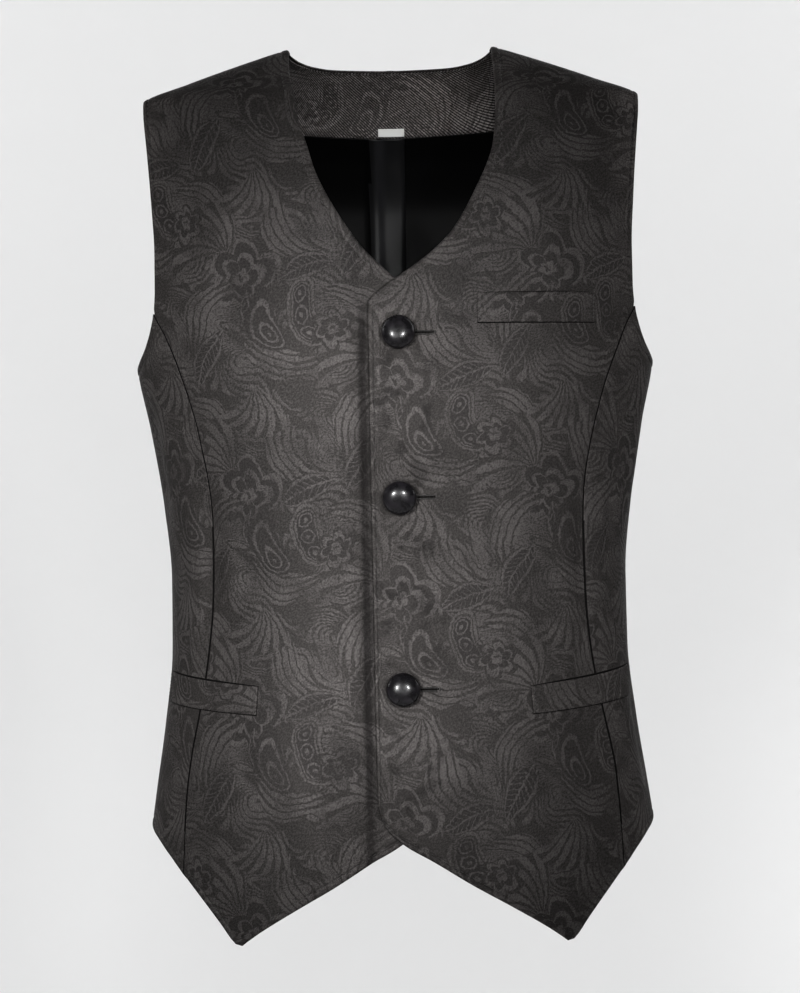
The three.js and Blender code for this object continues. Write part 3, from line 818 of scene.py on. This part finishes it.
    def drop(self, x, y, angle, long, wide, bend):
        """A bent drop with rings inside it."""
        a, b = self.spot(x, y, angle)
        bowed = (a * a).plus_times(bend, b)
        share = a * (2 / long)
        egg = self.length(share, bowed * (2 / wide)) * (share.plus_times(0.36, 1.0) | 0.62)
        rings = (egg * 2.6 + 0.4).zigzag()
        self.lay(self.kit.smooth(egg, 1.12, 1.06), self.kit.smooth(rings, 0.28, 0.42), 0.5)


def jacquard_figure(kit, around, down):
    figure = Figure(kit, around, down)
    figure.scrolls(5.2)
    figure.flower(0.0, 0.0, 25.0, 5, 20.0)
    figure.sheaf(29.0, -27.0, 62.0, 30.0, 12.0, 0.015, 5.4)
    figure.sheaf(-31.0, 22.0, -60.0, 29.0, 11.0, -0.015, 5.2)
    figure.sheaf(26.0, 62.0, 14.0, 26.0, 11.0, 0.017, 5.0)
    figure.sheaf(-22.0, -58.0, 40.0, 25.0, 9.0, -0.02, 4.8)
    figure.fan(-10.0, -12.0, -112.0, 44.0, 7, 112.0, 0.5)
    figure.fan(10.0, 74.0, 66.0, 36.0, 6, 96.0, -0.6)
    figure.leaf(-26.0, 54.0, 120.0, 44.0, 17.0)
    figure.leaf(45.0, -4.0, 160.0, 40.0, 15.0)
    figure.leaf(6.0, 26.0, 75.0, 34.0, 12.0)
    figure.drop(20.0, 42.0, 52.0, 36.0, 18.0, 0.014)
    figure.pod(44.0, 28.0, 74.0, 5.8)
    figure.flower(-42.0, -38.0, 15.0, 6, 0.0, 1.9)
    return figure


def tinted(colour, times=1.0):
    """A colour of the settings with its strength changed, as a shader takes it."""
    return tuple(min(1.0, times * c) for c in colour) + (1.0,)


# Noise that sways the woven lines: how fine it is, and how many millimetres it moves them
SWAYS = ((22.0, 13.0), (150.0, 2.2), (420.0, 1.7))


def jacquard(colours, name="jacquard", bright=1.0, twill=False):
    kit = Kit(name)
    around, down = kit.cloth()
    place = kit.place(around * 0.001, down * 0.001)
    rib = ((around + down) * 0.42).zigzag()
    for scale, amount in SWAYS:
        around_sway, down_sway, _ = kit.parts(kit.noise(place, scale, 1.0, output=1))
        around = (around_sway - 0.5).plus_times(amount, around)
        down = (down_sway - 0.5).plus_times(amount, down)
    figure = jacquard_figure(kit, around, down)
    wide = kit.noise(place, 14.0, 3.0)
    grain = kit.noise(kit.place((around + down) * 0.0013, (around - down) * 0.0006), 700.0, 2.0, 0.7)
    thread = kit.smooth(grain, 0.36, 0.64)
    broken = kit.noise(kit.place(around * 0.0016, down * 0.0006), 420.0)
    patch = kit.smooth(kit.noise(place, 42.0), 0.28, 0.62)
    light = figure.light * broken.plus_times(2.0, -0.1)
    light = light * wide.plus_times(1.0, 0.3) * patch.plus_times(0.75, 0.35)
    if twill:
        light = kit.smooth(rib, 0.15, 0.38) * (light * 0.75 - figure.dark * 0.15 + 0.42)
        thread = thread * 0.5
    light = light * thread.plus_times(0.9, 0.5) + thread * 0.3 - 0.1
    light = light & 1.0 | 0.0
    low, high = (0.4, 0.7) if twill else (0.5, 1.22)
    ground = kit.shades(wide * 0.4 + thread * 0.6, colours.ground, low, high)
    painted_shade_amount = painted_front_shade(kit, wide, patch)
    ground = kit.mix(figure.dark * 0.75, ground, tinted(colours.shade))
    colour = kit.mix(light, ground, tinted(colours.figure, bright))
    # Painted shade: the cloth darkened beside the front edge, around the buttons and in small folds
    colour = kit.mix(painted_shade_amount & 0.75, colour, tinted(colours.shade, 0.2))
    rough = light.plus_times(-0.06, grain.plus_times(0.1, 0.48))
    height = light.plus_times(0.5, grain * 0.8)
    return kit.surface(
        colour, rough, height, strength=0.35, distance=0.0005,
        Metallic=0.45, Specular_IOR_Level=0.02, Specular_Tint=(0.02, 0.02, 0.02, 1.0),
    )


def painted_front_shade(kit, wide, patch):
    """Painted shade on the front: a painted shadow beside the front edge, dark rings around the buttons
    and shade in small folds.
    """
    shade_place = kit.solid_place()
    across, ahead, up = kit.parts(shade_place)
    # Painted shadow beside the front edge, where the left front laps over the right
    beside = kit.smooth(abs(across + 0.0218), 0.0052, 0.0008)
    painted_shade_amount = beside * kit.smooth(up, -0.155, -0.185) * wide.plus_times(0.6, 0.45)
    # Painted shade in a ring round each button
    for low, middle in BUTTONS.values():
        near = (across - middle * MM) ** 2.0 + (up - (NECK_POINT_HEIGHT - low) * MM) ** 2.0
        painted_shade_amount = painted_shade_amount | kit.smooth(near, 0.00024, 0.00005) * patch.plus_times(0.5, 0.25)
    # Painted shade in small folds on the front
    fold_shade = kit.smooth(abs(across - 0.008), 0.034, 0.012)
    fold_shade = fold_shade * kit.smooth(kit.noise(shade_place, 52.0), 0.53, 0.66)
    painted_shade_amount = painted_shade_amount | fold_shade * kit.smooth(up, -0.175, -0.21) * 0.42
    return painted_shade_amount * kit.smooth(ahead, 0.0, -0.02)


def facing_cloth(colours):
    return jacquard(colours, "facing_cloth", 5.6, twill=True)


def lining_satin(colours):
    kit = Kit("lining_satin")
    place = kit.solid_place()
    streak = kit.noise(kit.stretched(place, 0.08), 900.0)
    broad = kit.noise(place, 18.0)
    colour = kit.shades(broad, colours.lining, 0.7)
    return kit.surface(
        colour, streak.plus_times(0.16, 0.3), streak.plus_times(0.5, broad * 0.5), strength=0.12,
        distance=0.0003, Specular_IOR_Level=0.04,
    )


def pleat_satin(colours):
    """The satin of the doubled centre pleat, painted lighter than the lining, with a painted highlight
    along its fold.
    """
    kit = Kit("pleat_satin")
    place = kit.solid_place()
    cloudy = kit.noise(kit.stretched(place, 0.3), 60.0)
    fold = kit.smooth(abs(kit.parts(place)[0] + 0.0085), 0.006, 0.0005) * cloudy.plus_times(1.2, 0.1)
    colour = kit.shades(fold, colours.lining, 4.0, 15.0)
    return kit.surface(colour, cloudy.plus_times(0.1, 0.35), Specular_IOR_Level=0.15)


def painted_shade_cloth(colours):
    """The cloth where it turns down into a seam or a pocket, made nearly black as painted shade there."""
    kit = Kit("painted_shade_cloth")
    fine = kit.noise(kit.solid_place(), 900.0, 1.0)
    colour = kit.shades(fine, colours.shade, 0.12, 0.3)
    return kit.surface(colour, fine.plus_times(0.1, 0.8), Specular_IOR_Level=0.02)


def label_tape(colours):
    kit = Kit("label_tape")
    across, _, up = kit.parts(kit.solid_place())
    weave = (up * 2200.0).zigzag() * 0.6 + (across * 1700.0).zigzag() * 0.4
    colour = kit.mix(weave, (0.62, 0.62, 0.6, 1.0), tinted(colours.label))
    return kit.surface(colour, weave.plus_times(-0.2, 0.75), weave, strength=0.4, distance=0.0002)


def button_pearl(colours):
    kit = Kit("button_pearl")
    place = kit.solid_place()
    cloud = kit.smooth(kit.noise(place, 160.0, 4.0, 0.6), 0.42, 0.68)
    colour = kit.shades(cloud, colours.button, 0.2, 0.7)
    return kit.surface(
        colour, cloud.plus_times(0.05, 0.27), kit.noise(place, 2400.0, 1.0), strength=0.03,
        distance=0.0001, Specular_IOR_Level=0.3, Coat_Weight=0.22, Coat_Roughness=0.12,
    )


def sewing_thread(colours):
    kit = Kit("sewing_thread")
    across, _, up = kit.parts(kit.solid_place())
    ply = ((across + up) * 2600.0).zigzag()
    colour = kit.shades(ply, colours.thread, 0.6)
    return kit.surface(colour, ply.plus_times(-0.15, 0.55), ply, strength=0.5, distance=0.0001)


def studio_paper(colours):
    kit = Kit("studio_paper")
    fine = kit.noise(kit.solid_place(), 4.0)
    colour = kit.shades(fine, colours.paper, 0.985)
    return kit.surface(colour, fine.plus_times(0.02, 0.9), Specular_IOR_Level=0.1)


MAKERS = {
    maker.__name__: maker
    for maker in (
        jacquard, facing_cloth, lining_satin, pleat_satin, painted_shade_cloth, label_tape,
        button_pearl, sewing_thread, studio_paper,
    )
}


# Settings


TINT = {"subtype": "COLOR", "min": 0, "max": 1}


class WaistcoatColours(bpy.types.PropertyGroup):
    """Colours of the cloth, lining and trimmings."""

    ground: FloatVectorProperty(
        name="Ground", description="Ground of the jacquard", default=(0.040, 0.037, 0.0355), **TINT)
    figure: FloatVectorProperty(
        name="Figure", description="Light threads of the jacquard",
        default=(0.084, 0.0775, 0.0757), **TINT)
    # Shade also colours the painted shade beside the front edge, around the buttons and in small folds,
    # and the painted shade in the seams, pocket mouths and buttonhole slits
    shade: FloatVectorProperty(
        name="Shade", description="Dark fillings of the jacquard",
        default=(0.026, 0.024, 0.0235), **TINT)
    lining: FloatVectorProperty(
        name="Lining", description="Satin lining", default=(0.0008, 0.0008, 0.0009), **TINT)
    label: FloatVectorProperty(
        name="Label", description="Blank tab at the back neck", default=(0.96, 0.96, 0.95), **TINT)
    button: FloatVectorProperty(
        name="Buttons", description="Domed buttons", default=(0.016, 0.014, 0.017), **TINT)
    thread: FloatVectorProperty(
        name="Thread", description="Sewing thread", default=(0.05, 0.047, 0.045), **TINT)
    paper: FloatVectorProperty(
        name="Floor", description="Studio floor and backdrop", default=(0.85, 0.85, 0.85), **TINT)


class WaistcoatSizes(bpy.types.PropertyGroup):
    """Sizes of the stitches."""

    stitch: FloatProperty(
        name="Stitch length", description="Length of one edge stitch", default=2.4 * MM,
        unit="LENGTH", min=0.001, max=0.01)
    stitch_gap: FloatProperty(
        name="Stitch spacing", description="From one edge stitch to the next",
        default=4.6 * MM, unit="LENGTH", min=0.002, max=0.02)
    thread: FloatProperty(
        name="Thread thickness", description="Thickness of the sewing thread",
        default=0.42 * MM, unit="LENGTH", min=0.0001, max=0.002)
    inset: FloatProperty(
        name="Stitch inset", description="From a turned edge to its row of stitches",
        default=STITCH_INSET * MM, unit="LENGTH", min=0.001, max=0.02)


# Pieces


TURNED, SEAM, PLAIN = {"turned": 1.0}, {"seam": 1.0}, {"plain": 1.0}
ALL_PLAIN = {"left": PLAIN, "right": PLAIN, "top": PLAIN, "low": PLAIN}


def part_turned(beyond):
    """An edge that is turned and stitched where a distance is above 0 and a seam elsewhere."""
    share = eased(beyond / 5.0)
    return {"turned": share, "seam": 1 - share}


def lap_out(x):
    return LAP_OUT * fade(x - LAP_FLAT)


def lap_in(x):
    return -LAP_IN * fade(x - LAP_FLAT) - 2.4 * bell(x - 21.5, 5.5)


def lap_at(x, side):
    """Rise of the left front over the lap, or the sinking of the right front under it."""
    return lap_out(x) if side > 0 else lap_in(x)


def along(line, lengths, at):
    """The point of a line of points at a length along it."""
    return np.array([np.interp(at, lengths, line[:, i]) for i in range(3)])


# One stitch: how far along it, how high in thicknesses, and how thick there
STITCH_FORM = ((0, -0.5, 0.45), (0.12, 0.2, 0.85), (0.5, 0.5, 1.0), (0.88, 0.2, 0.85), (1, -0.5, 0.45))
STITCH_SIDES = 6


def stitch_row(path, normals, length, spacing, thickness):
    """Points and faces of short threads laid along a path, each dipping into the cloth at its ends."""
    lengths = walked(path, 0)
    points, faces = [], []
    for start in np.arange(spacing / 2, lengths[-1] - length, spacing):
        base = len(points)
        for k, (share, lift, size) in enumerate(STITCH_FORM):
            at = start + share * length
            centre, normal = along(path, lengths, at), unit(along(normals, lengths, at))
            ahead = along(path, lengths, min(at + 1e-4, lengths[-1]))
            behind = along(path, lengths, max(at - 1e-4, 0))
            cross = unit(np.cross(unit(ahead - behind), normal))
            for turn in np.linspace(0, 2 * np.pi, STITCH_SIDES, endpoint=False):
                points.append(
                    centre + normal * thickness * lift
                    + (cross * math.cos(turn) + normal * math.sin(turn)) * thickness / 2 * size
                )
        for k in range(len(STITCH_FORM) - 1):
            for i in range(STITCH_SIDES):
                a, b = (base + k * STITCH_SIDES + j % STITCH_SIDES for j in (i, i + 1))
                faces.append((a, b, b + STITCH_SIDES, a + STITCH_SIDES))
        faces.append(tuple(range(base, base + STITCH_SIDES))[::-1])
        faces.append(tuple(range(len(points) - STITCH_SIDES, len(points))))
    return points, faces


def threads_piece(name, runs):
    """All the stitches of some rows as one piece."""
    points, faces = [], []
    for run_points, run_faces in runs:
        faces += [tuple(i + len(points) for i in face) for face in run_faces]
        points += [tuple(p) for p in run_points]
    return settle(mesh_piece(name, points, faces, ["sewing_thread"]))


def row_along(outer, normals, away, edge, inset):
    """The line on a panel that runs at a distance from one of its edges."""
    path, norms = [], []
    by_column = edge in ("top", "low")
    for k in range(outer.shape[1] if by_column else outer.shape[0]):
        pick = np.s_[:, k] if by_column else np.s_[k, :]
        far = away[edge][pick]
        order = np.argsort(far)
        path.append(along(outer[pick][order], far[order], inset))
        norms.append(along(normals[pick][order], far[order], inset))
    return np.array(path), np.array(norms)


def sewn_rows(name, made, edges):
    """Rows of stitches along edges of a shell, each from one share of its length to another."""
    sizes = bpy.context.scene.waistcoat_sizes
    runs = []
    for edge, first, last in edges:
        path, norms = row_along(*made[1:], edge, sizes.inset / MM)
        cut = slice(int(first * len(path)), max(2, int(last * len(path))))
        runs.append(stitch_row(path[cut], norms[cut], sizes.stitch, sizes.stitch_gap, sizes.thread))
    return threads_piece(name, runs)


class OBJECT_OT_waistcoat_fronts(bpy.types.Operator):
    """Builds the two fronts, the left one lapped over the right, with their edge stitches."""

    bl_idname = "object.waistcoat_fronts"
    bl_label = "Fronts"

    def execute(self, context):
        for hand, side in SIDES:
            grid = front_grid(hand)
            made = shell(
                f"front_{hand}_cloth", grid, FRONT_CLOTH,
                {"left": TURNED, "right": part_turned(188 - grid[..., 1]), "top": SEAM, "low": TURNED},
                rise=lap_at(across_of(grid), side), side=side,
                back={"right": HALF_GAP, "top": HALF_GAP}, slots=("jacquard", "lining_satin"),
            )
            settle(made[0], ["front_" + hand])
            sewn_rows(
                f"front_{hand}_stitches", made,
                [("left", 0.03, 0.985), ("low", 0.04, 0.97), ("right", 0.04, 0.27)],
            )
        return {"FINISHED"}


class OBJECT_OT_waistcoat_sides(bpy.types.Operator):
    """Builds the side panels between the princess seams and the side seams."""

    bl_idname = "object.waistcoat_sides"
    bl_label = "Side panels"

    def execute(self, context):
        for hand, side in SIDES:
            made = shell(
                f"side_{hand}_cloth", side_grid(), FRONT_CLOTH,
                {"left": {"seam": 0.35, "plain": 0.3}, "right": SEAM, "top": TURNED, "low": TURNED},
                side=side, back={"left": HALF_GAP, "right": HALF_GAP}, origin=(side * 37.0, 61.0),
                slots=("jacquard", "lining_satin"),
            )
            settle(made[0], ["side_" + hand])
        return {"FINISHED"}


class OBJECT_OT_waistcoat_backs(bpy.types.Operator):
    """Builds the two halves of the back with a centre seam."""

    bl_idname = "object.waistcoat_backs"
    bl_label = "Backs"

    def execute(self, context):
        band, rest = back_grids()
        whole = np.concatenate([band, rest[1:]])[:, ::-1]
        edges = {
            "left": part_turned(224 - whole[..., 1]), "right": SEAM,
            "top": part_turned(73 - across_of(whole)), "low": TURNED,
        }
        for hand, side in SIDES:
            made = shell(
                f"back_{hand}_cloth", whole, BACK_CLOTH, edges, side=side,
                back={"left": HALF_GAP, "right": HALF_GAP, "top": HALF_GAP}, origin=(0.0, 23.0),
            )
            settle(made[0], ["back_" + hand])
        return {"FINISHED"}


class OBJECT_OT_waistcoat_linings(bpy.types.Operator):
    """Builds the neck facing, the two lapped lining halves and the blank tab."""

    bl_idname = "object.waistcoat_linings"
    bl_label = "Facing, lining and tab"

    def execute(self, context):
        inside = BACK_CLOTH + LINING_GAP
        band, rest = back_grids(columns=60, band_rows=20, rows=100)
        band, rest = band[:, ::-1], rest[:, ::-1]
        beyond = band[:, ::-1][:, 1:].copy()
        beyond[..., 0] = 360 - beyond[..., 0]
        made = shell(
            "back_neck_facing_cloth", np.concatenate([band, beyond], axis=1), LINING_CLOTH,
            {"left": PLAIN, "right": PLAIN, "top": PLAIN, "low": TURNED}, rise=-inside,
            back={"left": LINING_IN, "right": LINING_IN, "top": LINING_IN / 2, "low": HALF_GAP},
            slots=("facing_cloth", "facing_cloth"), own_lengths=True,
        )
        settle(made[0], ["back_neck_facing"])
        for hand, side in SIDES:
            grid = rest.copy()
            t = np.linspace(0, 1, grid.shape[0])[:, None]
            grid[..., 1] -= LINING_HEM_UP * eased((t - 0.8) / 0.2)
            down = grid[:, -1:, 1]
            past = [
                places(180 + turn_at(np.full_like(down, LINING_LAPS[hand] * u), down), down)
                for u in (0.5, 1.0)
            ]
            grid = np.concatenate([grid, *past], axis=1)
            over = 0.0
            if side < 0:
                x = np.abs(across_of(grid))
                over = (LINING_CLOTH + 0.4) * fade(x - LAP_FLAT)
                over = over + 2.2 * bell(x - 12.0, 5.0) * (grid[..., 0] <= 180)
            made = shell(
                f"lining_{hand}_cloth", grid, LINING_CLOTH, ALL_PLAIN,
                rise=-inside - over, side=side, back={"left": LINING_IN, "top": HALF_GAP},
                slots=("lining_satin", "lining_satin"),
            )
            if side < 0:
                # The pleat's faces take the lining satin with a painted highlight
                wear(made[0], "lining_satin", "pleat_satin")
                centres = np.empty(3 * len(made[0].data.polygons))
                made[0].data.polygons.foreach_get("center", centres)
                on_pleat = centres[::3] > PLEAT_FROM * MM
                made[0].data.polygons.foreach_set("material_index", on_pleat.astype(int))
            settle(made[0], ["lining_" + hand])
        down = np.linspace(LABEL_TOP, LABEL_LOW, 8)[:, None]
        turn = 180 + turn_at(LABEL_HALF * np.linspace(-1, 1, 17)[None, :], LABEL_LOW)
        made = shell(
            "neck_label_tape", places(turn, down), LINING_CLOTH, ALL_PLAIN,
            rise=-inside - LINING_CLOTH - 0.5, slots=("label_tape", "label_tape"),
        )
        settle(made[0], ["neck_label"])
        return {"FINISHED"}


class OBJECT_OT_waistcoat_welts(bpy.types.Operator):
    """Builds the breast welt and the two lower welts with stitched ends."""

    bl_idname = "object.waistcoat_welts"
    bl_label = "Pocket welts"

    def execute(self, context):
        sizes = context.scene.waistcoat_sizes
        runs = []
        u, v = spaced(40, 0.7)[None, :], spaced(16, 0.7)[:, None]
        for name, welt in WELTS.items():
            side = welt["side"]
            turn, high, low = (first + (last - first) * u
                               for first, last in (welt["turn"], welt["top"], welt["low"]))
            grid = places(turn, high + (low - high) * v)
            lap = lap_at(across_of(grid), side)
            made = shell(
                name + "_cloth", grid, WELT_CLOTH, ALL_PLAIN, rise=lap + 1.55 - 0.35 * u ** 4,
                side=side, origin=(side * 26.0, 12.0),
            )
            settle(made[0], [name])
            # Painted shade in the pocket mouth and a painted shadow under the welt's foot
            open_by = welt["mouth"] * np.sin(np.pi * np.clip(u * 0.94 + 0.03, 0, 1)) ** 0.6
            mouth = places(turn, high - open_by + (open_by + 2.0) * v)
            painted_shade_strip(name + "_mouth", mouth, 0.35, lap + 0.2, side)
            painted_shade_strip(name + "_foot", places(turn, low - 0.8 + 1.5 * v), 0.3, lap + 0.22, side)
            for edge in ("left", "right"):
                path, norms = row_along(*made[1:], edge, 1.6)
                short, close = sizes.stitch * 0.7, sizes.stitch_gap * 0.55
                runs.append(stitch_row(path, norms, short, close, sizes.thread))
        threads_piece("welt_stitches", runs)
        return {"FINISHED"}


def turned_piece(name, profile, centre, axis, segments=64):
    """A piece turned from a profile of radius and height, set on the body along an axis."""
    rotation = Vector((0, 0, 1)).rotation_difference(Vector(axis))
    points, faces, rings = [], [], []
    for radius, height in profile:
        if radius < 1e-6:
            rings.append([len(points)])
            points.append(Vector((0, 0, height)))
            continue
        rings.append(list(range(len(points), len(points) + segments)))
        for k in range(segments):
            turn = 2 * math.pi * k / segments
            points.append(Vector((radius * math.cos(turn), radius * math.sin(turn), height)))
    for one, two in zip(rings, rings[1:]):
        for k in range(segments):
            a, b = one[k % len(one)], one[(k + 1) % len(one)]
            c, d = two[(k + 1) % len(two)], two[k % len(two)]
            faces.append(tuple(dict.fromkeys((a, b, c, d))))
    placed = [tuple((rotation @ p + Vector(centre)) * MM) for p in points]
    return mesh_piece(name, placed, faces, ["button_pearl"])


def over_front(across, down, lift):
    """A line over the left front, in metres, with the normals of the body there."""
    turn = turn_at(across, down)
    normal = body_normal(turn, down)
    height = lap_out(across) + creased(turn, down) + lift
    return (body_point(turn, down) + normal * height[:, None]) * MM, normal


def button_seat(down, across):
    turn = turn_at(np.array([across]), np.array([down]))
    return body_point(turn, np.array([down]))[0], body_normal(turn, np.array([down]))[0]


class OBJECT_OT_waistcoat_buttons(bpy.types.Operator):
    """Builds the three domed buttons on their shanks."""

    bl_idname = "object.waistcoat_buttons"
    bl_label = "Buttons"

    def execute(self, context):
        base = LAP_OUT + 0.5
        floor = -LAP_IN + 0.3
        radius, height = BUTTON_RADIUS, BUTTON_HEIGHT
        profile = [(0, floor), (1.3, floor), (1.5, floor + 0.3), (1.5, base - 0.1), (1.9, base)]
        profile += [(radius * 0.55, base + 0.02), (radius * 0.72, base + 0.06)]
        for k in range(9):
            turn = math.pi / 2 * k / 8
            profile.append((radius * (0.72 + 0.28 * math.sin(turn)), base + 3.2 - 3.1 * math.cos(turn)))
        for k in range(1, 21):
            turn = math.pi / 2 * k / 20
            across = 0 if k == 20 else radius * math.cos(turn) ** 0.85
            profile.append((across, base + 3.2 + (height - 3.2) * math.sin(turn)))
        for name, (down, across) in BUTTONS.items():
            centre, axis = button_seat(down, across)
            settle(turned_piece(name + "_dome", profile, centre, axis), [name])
        return {"FINISHED"}


class OBJECT_OT_waistcoat_buttonholes(bpy.types.Operator):
    """Sews the edges of the buttonholes in the left front."""

    bl_idname = "object.waistcoat_buttonholes"
    bl_label = "Buttonholes"

    def execute(self, context):
        runs = []
        for down, across in BUTTONS.values():
            for row in (-1.0, 1.0):
                xs = np.linspace(across + 1, across + CENTRE_FRONT_HOLE, 60)
                line = over_front(xs, np.full_like(xs, down + row * 1.05), 0.05)
                runs.append(stitch_row(*line, 0.9 * MM, 1.0 * MM, 1.25 * MM))
            u, v = spaced(30, 0.7)[None, :], np.linspace(-1, 1, 7)[:, None]
            xs = across + 3 + (CENTRE_FRONT_HOLE - 2.5) * u
            downs = down + 0.6 * v * np.sin(np.pi * np.clip(u * 0.9 + 0.05, 0, 1)) ** 0.5
            slit = places(turn_at(xs, downs), downs)
            # Painted shade in the buttonhole slit
            painted_shade_strip("buttonhole_slit", slit, 0.25, lap_out(xs) + 0.12)
            end = np.linspace(-1.6, 1.6, 12)
            line = over_front(np.full_like(end, across + CENTRE_FRONT_HOLE + 0.6), down + end, 0.1)
            runs.append(stitch_row(*line, 3.0 * MM, 0.2 * MM, 1.0 * MM))
        threads_piece("buttonhole_threads", runs)
        return {"FINISHED"}


# Lamps: the full angle of a spot's cone in degrees, or none for a soft square, then place, aim,
# size in metres and power in watts
LAMPS = (
    ("key_left", 13.2, (-1.05, -2.9, 0.12), (-0.03, 0.0, -0.345), 0.12, 372.0),
    ("key_right", 13.2, (0.78, -2.95, 0.12), (-0.05, 0.0, -0.29), 0.12, 215.0),
    ("neck_light", 3.3, (0.0, -3.2, 0.15), (0.0, 0.05, -0.035), 0.1, 380.0),
    ("front_fill", None, (0.0, -3.3, -0.2), (0.0, 0.0, -0.3), 0.9, 2.5),
    ("backdrop_left", None, (-2.4, 1.2, 1.2), (0.0, 3.2, -0.2), 2.2, 67.0),
    ("backdrop_right", None, (2.4, 1.2, 1.2), (0.0, 3.2, -0.2), 2.2, 67.0),
)

# The view of the photo: sensor, distance and size of a pixel in millimetres, pixels high, degrees
SENSOR, CAMERA_AWAY, PIXEL, PHOTO_HEIGHT, CAMERA_ROLL = 24.0, 3000.0, 0.7, 993.0, 1.0


class OBJECT_OT_waistcoat_stage(bpy.types.Operator):
    """Sets the floor and backdrop, the soft lights and the camera."""

    bl_idname = "object.waistcoat_stage"
    bl_label = "Stage"

    def execute(self, context):
        floor, near, far, top, bend = -1.4, -4.2, 3.2, 3.4, 0.9
        sweep = [(near, floor), (far - bend, floor)]
        for k in range(1, 17):
            turn = math.pi / 2 * k / 16
            sweep.append((far - bend + bend * math.sin(turn), floor + bend - bend * math.cos(turn)))
        sweep.append((far, top))
        points = [(x, y, z) for y, z in sweep for x in (-4.5, 4.5)]
        faces = [(2 * k, 2 * k + 1, 2 * k + 3, 2 * k + 2) for k in range(len(sweep) - 1)]
        mesh_piece("studio_sweep", points, faces, ["studio_paper"])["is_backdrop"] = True
        for name, cone, place, aim, size, power in LAMPS:
            data = bpy.data.lights.new(name, "SPOT" if cone else "AREA")
            data.energy = power
            if cone:
                data.spot_size, data.spot_blend, data.shadow_soft_size = math.radians(cone), 1.0, size
            else:
                data.size = size
            lamp = bpy.data.objects.new(name, data)
            lamp.location = place
            lamp.rotation_euler = (Vector(aim) - Vector(place)).to_track_quat("-Z", "Y").to_euler()
            context.scene.collection.objects.link(lamp)
        world = bpy.data.worlds.new("studio")
        world.use_nodes = True
        world.node_tree.nodes["Background"].inputs["Color"].default_value = (0.9, 0.92, 0.95, 1.0)
        world.node_tree.nodes["Background"].inputs["Strength"].default_value = 0.1
        context.scene.world = world
        context.scene.view_settings.view_transform = "Standard"
        data = bpy.data.cameras.new("photo_view")
        data.sensor_fit, data.sensor_height = "VERTICAL", SENSOR
        data.lens = SENSOR * (CAMERA_AWAY / PIXEL) / PHOTO_HEIGHT
        camera = bpy.data.objects.new("photo_view", data)
        camera.location = (0.0018, -CAMERA_AWAY * MM, -0.296)
        camera.rotation_mode = "XYZ"
        camera.rotation_euler = (math.radians(90), math.radians(CAMERA_ROLL), 0.0)
        context.scene.collection.objects.link(camera)
        context.scene.camera = camera
        return {"FINISHED"}


class VIEW3D_PT_waistcoat(bpy.types.Panel):
    """The waistcoat's pieces and settings."""

    bl_idname = "VIEW3D_PT_waistcoat"
    bl_label = "Suit waistcoat"
    bl_space_type = "VIEW_3D"
    bl_region_type = "UI"
    bl_category = "Waistcoat"

    def draw(self, context):
        for group in (context.scene.waistcoat_colours, context.scene.waistcoat_sizes):
            box = self.layout.box()
            for key in group.__annotations__:
                box.prop(group, key)
        for operator in OPERATORS:
            self.layout.operator(operator.bl_idname)


OPERATORS = (
    OBJECT_OT_waistcoat_fronts, OBJECT_OT_waistcoat_sides, OBJECT_OT_waistcoat_backs,
    OBJECT_OT_waistcoat_linings, OBJECT_OT_waistcoat_welts, OBJECT_OT_waistcoat_buttons,
    OBJECT_OT_waistcoat_buttonholes, OBJECT_OT_waistcoat_stage,
)
CLASSES = (WaistcoatColours, WaistcoatSizes, *OPERATORS, VIEW3D_PT_waistcoat)


def register():
    for cls in CLASSES:
        bpy.utils.register_class(cls)
    bpy.types.Scene.waistcoat_colours = PointerProperty(type=WaistcoatColours)
    bpy.types.Scene.waistcoat_sizes = PointerProperty(type=WaistcoatSizes)


def unregister():
    del bpy.types.Scene.waistcoat_sizes
    del bpy.types.Scene.waistcoat_colours
    for cls in reversed(CLASSES):
        bpy.utils.unregister_class(cls)


def main():
    register()
    for operator in OPERATORS:
        group, name = operator.bl_idname.split(".")
        getattr(getattr(bpy.ops, group), name)()
    plain = lambda box: [list(map(float, corner)) for corner in box]
    {"cad": plain(CAD_BOX), "visual": plain(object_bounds())}


if __name__ == "__main__":
    main()
